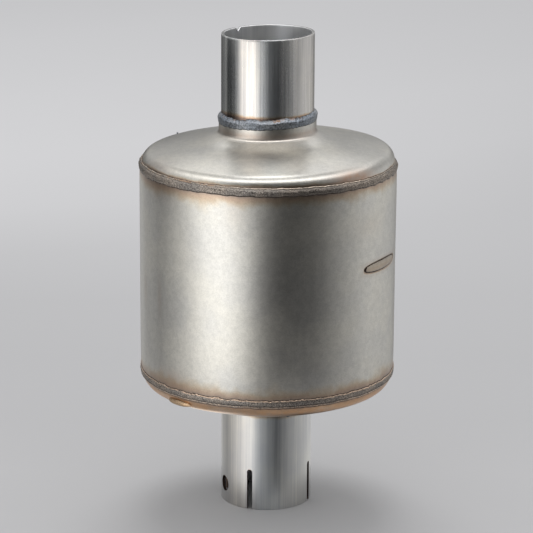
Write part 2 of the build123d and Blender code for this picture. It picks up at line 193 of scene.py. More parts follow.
def flat_side(angle: Array) -> Array:
    """How far the body is pressed in at its left: 0.75 mm times the cube of minus the sine."""
    return PRESSED_IN * np.clip(-np.sin(angle), 0.0, 1.0) ** 3


def even_angles(count: int) -> Array:
    """Angles spaced evenly all the way round."""
    return np.arange(count) * TAU / count


def graded(stops: list[tuple[float, float]], end: float) -> Array:
    """Rising numbers up to the end, from (start of a stretch, its spacing) pairs."""
    edges = [start for start, _ in stops] + [end]
    parts = [
        np.arange(math.ceil((after - start) / step)) * (after - start)
        / math.ceil((after - start) / step) + start
        for (start, step), after in zip(stops, edges[1:])
    ]
    return np.concatenate(parts + [np.array([end])])


@dataclass(frozen=True)
class Ripple:
    """Repeatable smooth unevenness with a mean square of one.

    Each kind is a sum of cosines whose wave numbers and phases come from the seed.
    """

    seed: int

    def around(self, angle: Array, low: int, high: int, count: int = 24) -> Array:
        """Unevenness at angles round the axis, of low to high waves in a full turn."""
        draw = np.random.default_rng(self.seed)
        waves = draw.integers(low, high + 1, count)
        phase = draw.uniform(0, TAU, count)
        return np.cos(angle[..., None] * waves + phase).sum(-1) / math.sqrt(count / 2)

    def skin(self, angle: Array, along: Array, low: int, high: int, pitch: float,
             count: int = 28) -> Array:
        """Unevenness over a surface.

        Args:
            angle: angles in radians, any shape.
            along: lengths across them in millimetres, same shape.
            low: fewest waves in a full turn.
            high: most waves in a full turn.
            pitch: shortest wave across them, in millimetres.
            count: number of cosines.

        Returns:
            One value for each point.
        """
        draw = np.random.default_rng(self.seed)
        waves = draw.integers(low, high + 1, count)
        rate = draw.uniform(-TAU / pitch, TAU / pitch, count)
        phase = draw.uniform(0, TAU, count)
        total = np.zeros(np.broadcast(angle, along).shape)
        for wave, speed, start in zip(waves, rate, phase):
            total += np.cos(angle * wave + along * speed + start)
        return total / math.sqrt(count / 2)


# Meshes -----------------------------------------------------------------------------------------


def about_z(radius: Array, turn: Array, height: Array) -> Array:
    """Points at radii and heights about Z; x is the sine's share and y minus the cosine's."""
    return np.stack([radius * np.sin(turn), -radius * np.cos(turn), height], -1)


def ball(rows: int, columns: int) -> tuple[Array, Array]:
    """Grid of points on a ball of radius 1, without its poles, and each one's way from below."""
    way = np.linspace(0.0, math.pi, rows)[1:-1]
    lean, spin = np.meshgrid(way, even_angles(columns), indexing="ij")
    return np.stack(
        [np.sin(lean) * np.cos(spin), np.sin(lean) * np.sin(spin), -np.cos(lean)], -1), lean


def enclosed(points: Array, quads: Array) -> float:
    """Volume inside a surface: a sixth of the sum of each triangle's box product.

    It is above zero where the faces point outwards.
    """
    first, second, third, fourth = (points[quads[:, corner]] for corner in range(4))
    halves = np.einsum("ij,ij->i", first, np.cross(second, third))
    halves += np.einsum("ij,ij->i", first, np.cross(third, fourth))
    return float(halves.sum() / 6)


def quads_between(index: Array) -> Array:
    """Faces between the rows of a grid of vertices, where each row closes on itself."""
    near, far = index[:-1], index[1:]
    return np.stack([near, np.roll(near, -1, 1), np.roll(far, -1, 1), far], -1).reshape(-1, 4)


def give_values(mesh: bpy.types.Mesh, values: dict[str, Array]) -> None:
    """Gives each vertex of a mesh the named numbers, which the materials read."""
    for key, numbers in values.items():
        attribute = mesh.attributes.new(key, "FLOAT", "POINT")
        attribute.data.foreach_set("value", numbers.astype(np.float32).ravel())


def soften(mesh: bpy.types.Mesh, sharp: float) -> None:
    """Makes the faces smooth, and sharp the edges that turn by more than an angle in degrees."""
    mesh.polygons.foreach_set("use_smooth", np.ones(len(mesh.polygons), bool))
    mesh.set_sharp_from_angle(angle=math.radians(sharp))


def mesh_from(name: str, points: Array, faces: list | Array, sharp: float = SHARP,
              values: dict[str, Array] | None = None) -> bpy.types.Mesh:
    """Mesh with smooth faces and sharp edges where the surface turns.

    Args:
        name: name of the mesh.
        points: vertices in millimetres, shape (n, 3).
        faces: corners of each face.
        sharp: angle in degrees above which an edge is sharp.
        values: named numbers for each vertex.

    Returns:
        The mesh, in metres.
    """
    mesh = bpy.data.meshes.new(name)
    listed = faces.tolist() if isinstance(faces, np.ndarray) else faces
    mesh.from_pydata((points * MM).tolist(), [], listed)
    give_values(mesh, values or {})
    soften(mesh, sharp)
    mesh.update()
    return mesh


def ring_mesh(name: str, angle: Array, radius: Array, height: Array,
              values: dict[str, Array] | None = None, sharp: float = SHARP) -> bpy.types.Mesh:
    """Closed ring about Z whose section may change round the axis; both ways close.

    Args:
        name: name of the mesh.
        angle: angles in radians, shape (a,).
        radius: radii in millimetres, shape (a, p).
        height: heights in millimetres, shape (a, p).
        values: named numbers for each point, each of shape (a, p).
        sharp: angle in degrees above which an edge is sharp.

    Returns:
        The mesh.
    """
    points = about_z(radius, angle[:, None], height).reshape(-1, 3)
    index = np.arange(radius.size).reshape(radius.shape)
    beside = np.roll(index, -1, 0)
    quads = np.stack([index, beside, np.roll(beside, -1, 1), np.roll(index, -1, 1)], -1)
    quads = quads.reshape(-1, 4)
    if enclosed(points, quads) < 0:
        quads = quads[:, ::-1]
    return mesh_from(name, points, quads, sharp, values)


def bar_mesh(name: str, sections: Array, sharp: float = SHARP) -> bpy.types.Mesh:
    """Closed bar through sections of shape (rows, points, 3), with a flat face at each end."""
    rows, across = sections.shape[:2]
    points = sections.reshape(-1, 3)
    index = np.arange(rows * across).reshape(rows, across)
    quads = quads_between(index)
    faces = quads.tolist() + [index[0][::-1].tolist(), index[-1].tolist()]
    if enclosed(points - points.mean(0), quads) < 0:
        faces = [face[::-1] for face in faces]
    return mesh_from(name, points, faces, sharp)


def lump_mesh(name: str, centre: tuple[float, float], size: tuple[float, float],
              rings: tuple[tuple[float, float], ...], seed: int,
              rough: float) -> bpy.types.Mesh:
    """Closed oval lump that lies on a round surface.

    Its outline is half of each size times the cosine and the sine to the power 0.85. Each ring
    is the outline times its share, at its radius, and the first and the last have a share of 0.

    Args:
        name: name of the mesh.
        centre: (angle in degrees, height) of the middle.
        size: length round the surface and height of the outline.
        rings: (share of the outline, radius) pairs from the outside middle to the inside middle.
        seed: seed of the unevenness.
        rough: unevenness of the radius in millimetres.

    Returns:
        The mesh.
    """
    turn = even_angles(120)
    shares, radii = (np.array(column)[:, None] for column in zip(*rings))
    along, up = (np.sign(wave) * np.abs(wave) ** OVAL_POWER * half / 2 * shares
                 for wave, half in ((np.cos(turn), size[0]), (np.sin(turn), size[1])))
    up = up + centre[1]
    face = Ripple(seed).skin(along / 10, up, 3, 14, 2.2)
    radius = radii + rough * face * np.clip(shares * 6, 0, 1) * np.clip((1 - shares) * 6, 0, 1)
    grid = about_z(radius, math.radians(centre[0]) + along / radii, up)
    quads = quads_between(np.arange(along.size).reshape(along.shape))
    points = grid.reshape(-1, 3)
    if enclosed(points - points.mean(0), quads) < 0:
        quads = quads[:, ::-1]
    return merged(mesh_from(name, points, quads, LUMP_SHARP), 0.02)


def merged(mesh: bpy.types.Mesh, gap: float) -> bpy.types.Mesh:
    """The mesh with points nearer than a gap in millimetres joined and its normals facing out."""
    work = bmesh.new()
    work.from_mesh(mesh)
    bmesh.ops.remove_doubles(work, verts=work.verts, dist=gap * MM)
    bmesh.ops.dissolve_degenerate(work, edges=work.edges, dist=gap * MM * 0.5)
    bmesh.ops.recalc_face_normals(work, faces=work.faces)
    work.to_mesh(mesh)
    work.free()
    mesh.update()
    return mesh


def linked(name: str, data: bpy.types.ID) -> bpy.types.Object:
    """New object of the scene."""
    made = bpy.data.objects.new(name, data)
    bpy.context.scene.collection.objects.link(made)
    return made


def place(mesh: bpy.types.Mesh, finish: bpy.types.Material, slot: Slot,
          *nodes: str) -> bpy.types.Object:
    """Puts a mesh in the scene as a piece of the part.

    Args:
        mesh: the piece's mesh, already in its place.
        finish: its material.
        slot: the record's material slot; it is not used.
        nodes: CAD nodes that it stands for.

    Returns:
        The object.
    """
    piece = linked(mesh.name, mesh)
    mesh.materials.append(finish)
    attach(piece, "root")
    if nodes:
        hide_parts(*nodes)
    LOG.info("%s: %d faces, stands for %s", piece.name, len(mesh.polygons), nodes or "nothing")
    return piece


# Shader building --------------------------------------------------------------------------------


class Graph:
    """Short calls that add nodes to a tree and link them."""

    def __init__(self, tree: bpy.types.NodeTree) -> None:
        """Keeps the tree that the calls work on."""
        self.tree = tree

    def add(self, kind: str, inputs: dict | None = None,
            **settings: object) -> bpy.types.Node:
        """Adds a node.

        Args:
            kind: the node's type.
            inputs: values or sockets for its inputs, by name or number.
            settings: the node's own settings.

        Returns:
            The node.
        """
        node = self.tree.nodes.new(kind)
        for key, value in settings.items():
            setattr(node, key, value)
        for key, value in (inputs or {}).items():
            if isinstance(value, Socket):
                self.tree.links.new(value, node.inputs[key])
            else:
                node.inputs[key].default_value = value
        return node

    def give(self, result: bpy.types.Node, **values: Socket) -> bpy.types.NodeTree:
        """Links a group's values to its output node and returns the group."""
        for key, value in values.items():
            self.tree.links.new(value, result.inputs[key])
        return self.tree

    def maths(self, operation: str, *values: float | Socket, clamp: bool = False) -> Socket:
        """Output of a Math node."""
        inputs = dict(enumerate(values))
        return self.add("ShaderNodeMath", inputs, operation=operation, use_clamp=clamp).outputs[0]

    def times(self, first: float | Socket, second: float | Socket) -> Socket:
        """Product of two values."""
        return self.maths("MULTIPLY", first, second)

    def line(self, value: float | Socket, rate: float | Socket, start: float | Socket) -> Socket:
        """Value times a rate, plus a start."""
        return self.maths("MULTIPLY_ADD", value, rate, start)

    def blend(self, share: float | Socket, first: Colour | Socket, second: Colour | Socket,
              how: str = "MIX") -> Socket:
        """Colour that has a share of the second one, mixed in the way that how names."""
        first, second = (value if isinstance(value, Socket) else (*value, 1.0)
                         for value in (first, second))
        node = self.add("ShaderNodeMix", {0: share, 6: first, 7: second}, data_type="RGBA",
                        blend_type=how, clamp_factor=True)
        return node.outputs[2]

    def tinted(self, colour: Colour | Socket, other: Colour | Socket) -> Socket:
        """Product of two colours."""
        return self.blend(1.0, colour, other, "MULTIPLY")

    def step(self, value: Socket, start: float | Socket, end: float | Socket,
             low: float = 0.0, high: float = 1.0) -> Socket:
        """Smooth step of a value from low to high between start and end."""
        inputs = {"Value": value, "From Min": start, "From Max": end, "To Min": low,
                  "To Max": high}
        node = self.add("ShaderNodeMapRange", inputs, interpolation_type="SMOOTHSTEP")
        return node.outputs["Result"]

    def noise(self, where: Socket, scale: float | Socket, detail: float = 2.0,
              roughness: float = 0.5) -> Socket:
        """Value of a Noise Texture, about 0.5 in the middle."""
        inputs = {"Vector": where, "Scale": scale, "Detail": detail, "Roughness": roughness}
        return self.add("ShaderNodeTexNoise", inputs).outputs[0]

    def ramp(self, value: Socket, stops: list[tuple[float, Colour]]) -> Socket:
        """Colour of a ramp with the given (place, colour) stops."""
        node = self.add("ShaderNodeValToRGB", {"Fac": value})
        elements = node.color_ramp.elements
        while len(elements) > 1:
            elements.remove(elements[-1])
        elements[0].position, elements[0].color = stops[0][0], (*stops[0][1], 1.0)
        for position, colour in stops[1:]:
            elements.new(position).color = (*colour, 1.0)
        return node.outputs["Color"]

    def stretch(self, where: Socket, scale: tuple[float, float, float]) -> Socket:
        """Coordinates times a scale for each axis."""
        inputs = {0: where, 1: scale}
        return self.add("ShaderNodeVectorMath", inputs, operation="MULTIPLY").outputs[0]

    def group(self, tree: bpy.types.NodeTree, **inputs: float | Socket) -> list[Socket]:
        """Outputs of a node group."""
        return list(self.add("ShaderNodeGroup", inputs, node_tree=tree).outputs)

    def value_of(self, name: str) -> Socket:
        """A mesh's own numbers, by name."""
        return self.add("ShaderNodeAttribute", attribute_name=name).outputs["Fac"]

    def place_on_object(self) -> Socket:
        """Object coordinates, in metres."""
        return self.add("ShaderNodeTexCoord").outputs["Object"]

    def axes(self) -> tuple[Socket, Socket, Socket, Socket]:
        """Object coordinates x, y and z, and the angle round Z from the front."""
        x, y, z = self.add("ShaderNodeSeparateXYZ", {0: self.place_on_object()}).outputs
        return x, y, z, self.maths("ARCTAN2", x, self.times(y, -1.0))

    def heated(self, colour: Socket, tint: bpy.types.NodeTree, toe: Socket, reach: float,
               strength: float) -> Socket:
        """Colour with the heat tint over it.

        Args:
            colour: the colour without it.
            tint: the heat tint's group.
            toe: distance from the weld in millimetres.
            reach: how far the tint goes, in millimetres.
            strength: the tint's share at the weld.

        Returns:
            The tinted colour.
        """
        shade, mask = self.group(tint, Vector=self.place_on_object(), Distance=toe, Reach=reach,
                                 Strength=strength)
        return self.blend(mask, colour, self.tinted(colour, shade))

    def layered(self, start: float, *layers: tuple[Socket, float]) -> Socket:
        """A start with shares of the given masks added in turn."""
        for mask, share in layers:
            start = self.line(mask, share, start)
        return start

    def close(self, shader: bpy.types.Node, kind: str = "Material") -> None:
        """Links a shader to the output of a material or a world."""
        self.add(f"ShaderNodeOutput{kind}", {"Surface": shader.outputs[0]})

    def metal(self, colour: Socket, rough: Socket, height: Socket, strength: float,
              depth: float, metallic: float | Socket = 1.0) -> None:
        """Closes a material with a metal shader.

        Args:
            colour: base colour.
            rough: roughness.
            height: height of the bumps.
            strength: their strength.
            depth: their depth in metres.
            metallic: share of metal.
        """
        bump = self.add("ShaderNodeBump", {"Strength": strength, "Distance": depth,
                                           "Height": height})
        self.close(self.add("ShaderNodeBsdfPrincipled", {
            "Base Color": colour, "Metallic": metallic, "Roughness": rough,
            "Normal": bump.outputs["Normal"],
        }))


def new_group(name: str, inputs: dict[str, float | None],
              outputs: tuple[str, ...]) -> tuple[Graph, list[Socket], bpy.types.Node]:
    """Empty shader node group.

    Args:
        name: its name.
        inputs: default of each number input, or None for a vector.
        outputs: names of its outputs: Color is a colour and the others are numbers.

    Returns:
        The graph, the group's inputs as sockets and the node with its outputs.
    """
    tree = bpy.data.node_groups.new(name, "ShaderNodeTree")
    for key, default in inputs.items():
        kind = "NodeSocketVector" if default is None else "NodeSocketFloat"
        socket = tree.interface.new_socket(key, in_out="INPUT", socket_type=kind)
        if default is not None:
            socket.default_value = default
    for key in outputs:
        kind = "NodeSocketColor" if key == "Color" else "NodeSocketFloat"
        tree.interface.new_socket(key, in_out="OUTPUT", socket_type=kind)
    graph = Graph(tree)
    given = graph.add("NodeGroupInput").outputs
    return graph, [given[key] for key in inputs], graph.add("NodeGroupOutput")


def metal_grain() -> bpy.types.NodeTree:
    """Mottle of coated sheet: fine speckle, patches and broad clouds, each from 0 to 1."""
    graph, (where, size), result = new_group(
        "metal_grain", {"Vector": None, "Size": 1.0}, ("Speckle", "Patch", "Cloud"))
    fine, middle = (graph.maths("DIVIDE", scale, size) for scale in (1300.0, 300.0))
    return graph.give(
        result,
        Speckle=graph.step(graph.noise(where, fine, 3.0, 0.65), 0.34, 0.66),
        Patch=graph.step(graph.noise(where, middle, 3.0, 0.6), 0.33, 0.67),
        Cloud=graph.step(graph.noise(where, 34.0, 3.0, 0.55), 0.35, 0.65),
    )


def long_streaks() -> bpy.types.NodeTree:
    """Streaks that run along Z: fine lines and broad bands, each from 0 to 1."""
    graph, (where,), result = new_group("long_streaks", {"Vector": None}, ("Line", "Band"))
    fine = graph.noise(graph.stretch(where, (1.0, 1.0, 0.012)), 900.0, 2.0, 0.6)
    broad = graph.noise(graph.stretch(where, (1.0, 1.0, 0.05)), 330.0, 3.0, 0.6)
    return graph.give(result, Line=graph.step(fine, 0.3, 0.7), Band=graph.step(broad, 0.3, 0.7))


def heat_tint() -> bpy.types.NodeTree:
    """Colours of heated steel by the distance from a weld, in millimetres.

    They go from brown at the weld through copper to straw, and the mask fades out with them.
    """
    graph, (where, distance, far, strength), result = new_group(
        "heat_tint", {"Vector": None, "Distance": 10.0, "Reach": 8.0, "Strength": 1.0},
        ("Color", "Mask"))
    wander = graph.line(graph.noise(where, 55.0, 3.0, 0.6), 2.6, -0.45)
    reach = graph.times(far, graph.maths("MAXIMUM", wander, 0.12))
    share = graph.maths("DIVIDE", distance, reach, clamp=True)
    colour = graph.ramp(share, [
        (0.0, (0.30, 0.20, 0.155)), (0.16, (0.62, 0.40, 0.27)), (0.42, (0.80, 0.62, 0.44)),
        (0.75, (0.95, 0.85, 0.70)), (1.0, (1.0, 0.97, 0.92)),
    ])
    return graph.give(result, Color=colour,
                      Mask=graph.times(graph.step(share, 1.0, 0.25), strength))


def weld_scale() -> bpy.types.NodeTree:
    """Scale on a weld bead: a height, light grains and dark pits, each from 0 to 1."""
    graph, (where, size), result = new_group(
        "weld_scale", {"Vector": None, "Size": 1.0}, ("Height", "Grain", "Pit"))
    coarse, fine, middle = (graph.maths("DIVIDE", scale, size) for scale in (620.0, 1700.0, 900.0))
    grains = graph.noise(where, fine, 3.0, 0.7)
    lumps = graph.times(graph.noise(where, coarse, 3.0, 0.6), 0.55)
    return graph.give(
        result,
        Height=graph.line(grains, 0.45, lumps),
        Grain=graph.step(grains, 0.36, 0.66),
        Pit=graph.step(graph.noise(where, middle, 1.0, 0.5), 0.62, 0.72),
    )


def new_material(name: str) -> tuple[bpy.types.Material, Graph]:
    """Empty material with a node tree, and the graph of the tree."""
    material = bpy.data.materials.new(name)
    material.use_nodes = True
    material.node_tree.nodes.clear()
    return material, Graph(material.node_tree)


# Finishes ---------------------------------------------------------------------------------------


@dataclass(frozen=True)
class Effects:
    """Node groups that the finishes share."""

    grain: bpy.types.NodeTree
    streaks: bpy.types.NodeTree
    tint: bpy.types.NodeTree
    scale: bpy.types.NodeTree


@dataclass(frozen=True)
class SheetFinish:
    """Satin coated sheet: mottled grey, tinted by heat beside its welds, with painted shade in a
    dark line at the toe.
    """

    light: Colour = (0.66, 0.645, 0.60)
    dark: Colour = (0.52, 0.51, 0.475)
    roughness: float = 0.31
    tint_reach: float = 10.0
    tint_strength: float = 0.72
    line_width: float = 0.55
    # Near-black of the painted shade at the weld toes.
    shade_black: Colour = (0.05, 0.036, 0.03)
    stain_and_painted_light: Colour = (0.40, 0.27, 0.19)

    def material(self, name: str, effects: Effects) -> bpy.types.Material:
        """Material of the finish.

        It reads the mesh's own numbers "toe", the distance from a weld's toe in millimetres, and
        the strength of a patch of tint, which on the caps also paints shade and, below zero, a
        highlight.
        """
        made, graph = new_material(name)
        where = graph.place_on_object()
        speckle, patch, cloud = graph.group(effects.grain, Vector=where)
        toe = graph.value_of("toe")
        mottle = graph.line(speckle, 0.55, graph.times(patch, 0.45))
        colour = graph.blend(mottle, self.dark, self.light)
        colour = graph.tinted(colour, graph.blend(cloud, (0.90, 0.90, 0.91), (1.0, 0.99, 0.97)))
        colour = graph.heated(colour, effects.tint, toe, self.tint_reach, self.tint_strength)
        # The patches are tint; on the caps one also paints shade and one paints a highlight.
        patchy = graph.maths("MULTIPLY", graph.value_of("stain_and_painted_light"), graph.line(patch, 0.35, 0.75),
                             clamp=True)
        colour = graph.blend(patchy, colour, self.stain_and_painted_light)
        # Painted shade: a ragged near-black line along each weld's toe, where the undercut groove
        # lies.
        ragged = graph.line(graph.noise(where, 480.0, 2.0, 0.6), 0.7, -0.35)
        edge = graph.step(graph.maths("ADD", toe, ragged), self.line_width, 0.0)
        colour = graph.blend(edge, colour, self.shade_black)
        rough = graph.layered(self.roughness - 0.02, (patch, 0.012), (cloud, 0.03),
                              (edge, 0.25), (patchy, 0.06))
        graph.metal(colour, rough, speckle, 0.35, 0.00002)
        return made


@dataclass(frozen=True)
class TubeFinish:
    """Drawn tube: streaks along its length, painted reflections round it, a faint seam line and
    tint beside its weld.

    The stripes are (angle in degrees, tone, warmth) rows, blended from one to the next: bands
    round the tube, lighter and darker, that paint its reflections.
    """

    reflection_stripes: tuple[tuple[float, ...], ...]
    light: Colour = (0.76, 0.76, 0.75)
    dark: Colour = (0.50, 0.505, 0.51)
    roughness: float = 0.25
    seam_angle: float = 18.7
    tint_reach: float = 4.0
    bump: float = 0.25
    bore: Colour = (0.93, 0.94, 0.96)

    def material(self, name: str, effects: Effects) -> bpy.types.Material:
        """Material of the finish. It reads the mesh's own numbers "toe" and "bore"."""
        made, graph = new_material(name)
        where = graph.place_on_object()
        line, band = graph.group(effects.streaks, Vector=where)
        speckle, patch, cloud = graph.group(effects.grain, Vector=where, Size=1.2)
        lines = graph.line(line, 0.6, graph.times(band, 0.4))
        colour = graph.blend(lines, self.dark, self.light)
        colour = graph.tinted(colour, graph.blend(cloud, (0.90, 0.91, 0.93), (1.0, 1.0, 0.98)))
        colour = graph.heated(colour, effects.tint, graph.value_of("toe"), self.tint_reach, 0.9)
        turn = graph.axes()[3]
        off = graph.maths("ABSOLUTE", graph.maths("SUBTRACT", turn, math.radians(self.seam_angle)))
        # Painted reflections: each stripe's tone lightens or darkens the tube at its angle.
        reflection_tones = [(angle / 180 + 0.5, (tone * (0.8 + warm), tone * 0.8, tone * (0.8 - warm)))
                 for angle, tone, warm in self.reflection_stripes]
        across = graph.ramp(graph.line(turn, 1 / math.pi, 0.5), reflection_tones)
        colour = graph.tinted(colour, graph.tinted(across, (1.25, 1.25, 1.25)))
        seam = graph.times(graph.step(off, 0.012, 0.004), 0.7)
        colour = graph.blend(seam, colour, (0.85, 0.84, 0.82))
        bore = graph.value_of("bore")
        colour = graph.blend(bore, colour, self.bore)
        rough = graph.layered(self.roughness - 0.02, (band, 0.03), (line, 0.02), (patch, 0.01),
                              (bore, 0.14))
        height = graph.line(speckle, 0.35, graph.times(line, 0.65))
        graph.metal(colour, rough, height, self.bump, 0.00003)
        return made


@dataclass(frozen=True)
class BeadFinish:
    """Weld bead with scale: granular, with dark pits, a painted highlight along its lip and
    painted shade in its dark lines.
    """

    light: Colour = (0.46, 0.43, 0.39)
    dark: Colour = (0.13, 0.12, 0.11)
    # Pale colour of the painted highlight along the lip.
    lip: Colour = (0.92, 0.78, 0.64)
    shade_black: Colour = (0.03, 0.024, 0.02)
    rust: Colour = (0.42, 0.20, 0.07)
    roughness: float = 0.46
    metallic: float = 0.9
    size: float = 1.0
    bump: float = 0.8

    def material(self, name: str, effects: Effects) -> bpy.types.Material:
        """Material of the finish.

        It reads the mesh's own numbers "lip", "line" and "rusty", each from 0 to 1: where the bead
        has a painted highlight on its lip, painted shade in a dark line, and rust.
        """
        made, graph = new_material(name)
        where = graph.place_on_object()
        height, grain, pit = graph.group(effects.scale, Vector=where, Size=self.size)
        colour = graph.blend(grain, self.dark, self.light)
        cloud = graph.step(graph.noise(where, 60.0), 0.35, 0.65)
        colour = graph.tinted(colour, graph.blend(cloud, (0.82, 0.80, 0.80), (1.08, 1.0, 0.94)))
        broken = graph.step(graph.noise(where, 420.0, 2.0, 0.6), 0.36, 0.60)
        # Painted highlight: the lip blends towards a pale colour, broken by noise.
        lit = graph.times(graph.value_of("lip"), graph.line(broken, 0.7, 0.3))
        colour = graph.blend(lit, colour, self.lip)
        patch = graph.step(graph.noise(where, 240.0, 3.0, 0.65), 0.50, 0.62)
        rusted = graph.times(graph.value_of("rusty"), patch)
        colour = graph.blend(rusted, colour, self.rust)
        colour = graph.blend(graph.times(pit, 0.6), colour, self.shade_black)
        # Painted shade: the dark lines blend towards near-black.
        colour = graph.blend(graph.value_of("line"), colour, self.shade_black)
        rough = graph.layered(self.roughness - 0.06, (grain, 0.12), (rusted, 0.3), (lit, -0.14))
        metallic = graph.maths("MULTIPLY_ADD", rusted, -0.8, self.metallic, clamp=True)
        graph.metal(colour, rough, height, self.bump, 0.00018, metallic)
        return made


@dataclass(frozen=True)
class InnerFinish:
    """Plain mill sheet inside the body, lightly mottled."""

    light: Colour = (0.50, 0.49, 0.47)
    dark: Colour = (0.34, 0.335, 0.325)
    roughness: float = 0.42

    def material(self, name: str, effects: Effects) -> bpy.types.Material:
        """Material of the finish."""
        made, graph = new_material(name)
        speckle, patch, cloud = graph.group(effects.grain, Vector=graph.place_on_object(),
                                            Size=1.6)
        mix = graph.line(patch, 0.6, graph.times(cloud, 0.4))
        colour = graph.blend(mix, self.dark, self.light)
        graph.metal(colour, graph.line(patch, 0.12, self.roughness - 0.06), speckle, 0.3, 0.00004)
        return made


# The part ---------------------------------------------------------------------------------------


@dataclass(frozen=True)
class Patch:
    """Soft patch of tint on the body: a bell curve round a place. On the caps one patch also
    paints shade, and one below zero paints a highlight.
    """

    angle: float
    height: float
    wide: float
    tall: float
    strength: float

    def on(self, angle: Array, height: Array, radius: float) -> Array:
        """Strength at given angles and heights of a surface."""
        along = arc_from(angle, self.angle, radius) / self.wide
        up = (height - self.height) / self.tall
        return self.strength * np.exp(-(along**2 + up**2))


@dataclass(frozen=True)
class PlugWeld:
    """Oval weld that fills a slot in the shell."""

    angle: float
    height: float = 156.0
    length: float = 38.5
    tall: float = 6.0

    def away(self, angle: Array, height: Array, radius: float) -> Array:
        """Distance from the weld's oval outline, below zero inside it.

        The oval is where its two shares, each to the power n, add up to 1, and the distance is
        how far their sum's nth root is from 1, over the slope of that root.
        """
        power, wide, tall = 2 / OVAL_POWER, self.length / 2, self.tall / 2
        along = np.abs(arc_from(angle, self.angle, radius)) / wide + 1e-4
        up = np.abs(height - self.height) / tall + 1e-4
        root = (along**power + up**power) ** (1 / power)
        slope = np.hypot((along / root) ** (power - 1) / wide, (up / root) ** (power - 1) / tall)
        return np.clip((root - 1) / slope, -tall, 60.0)


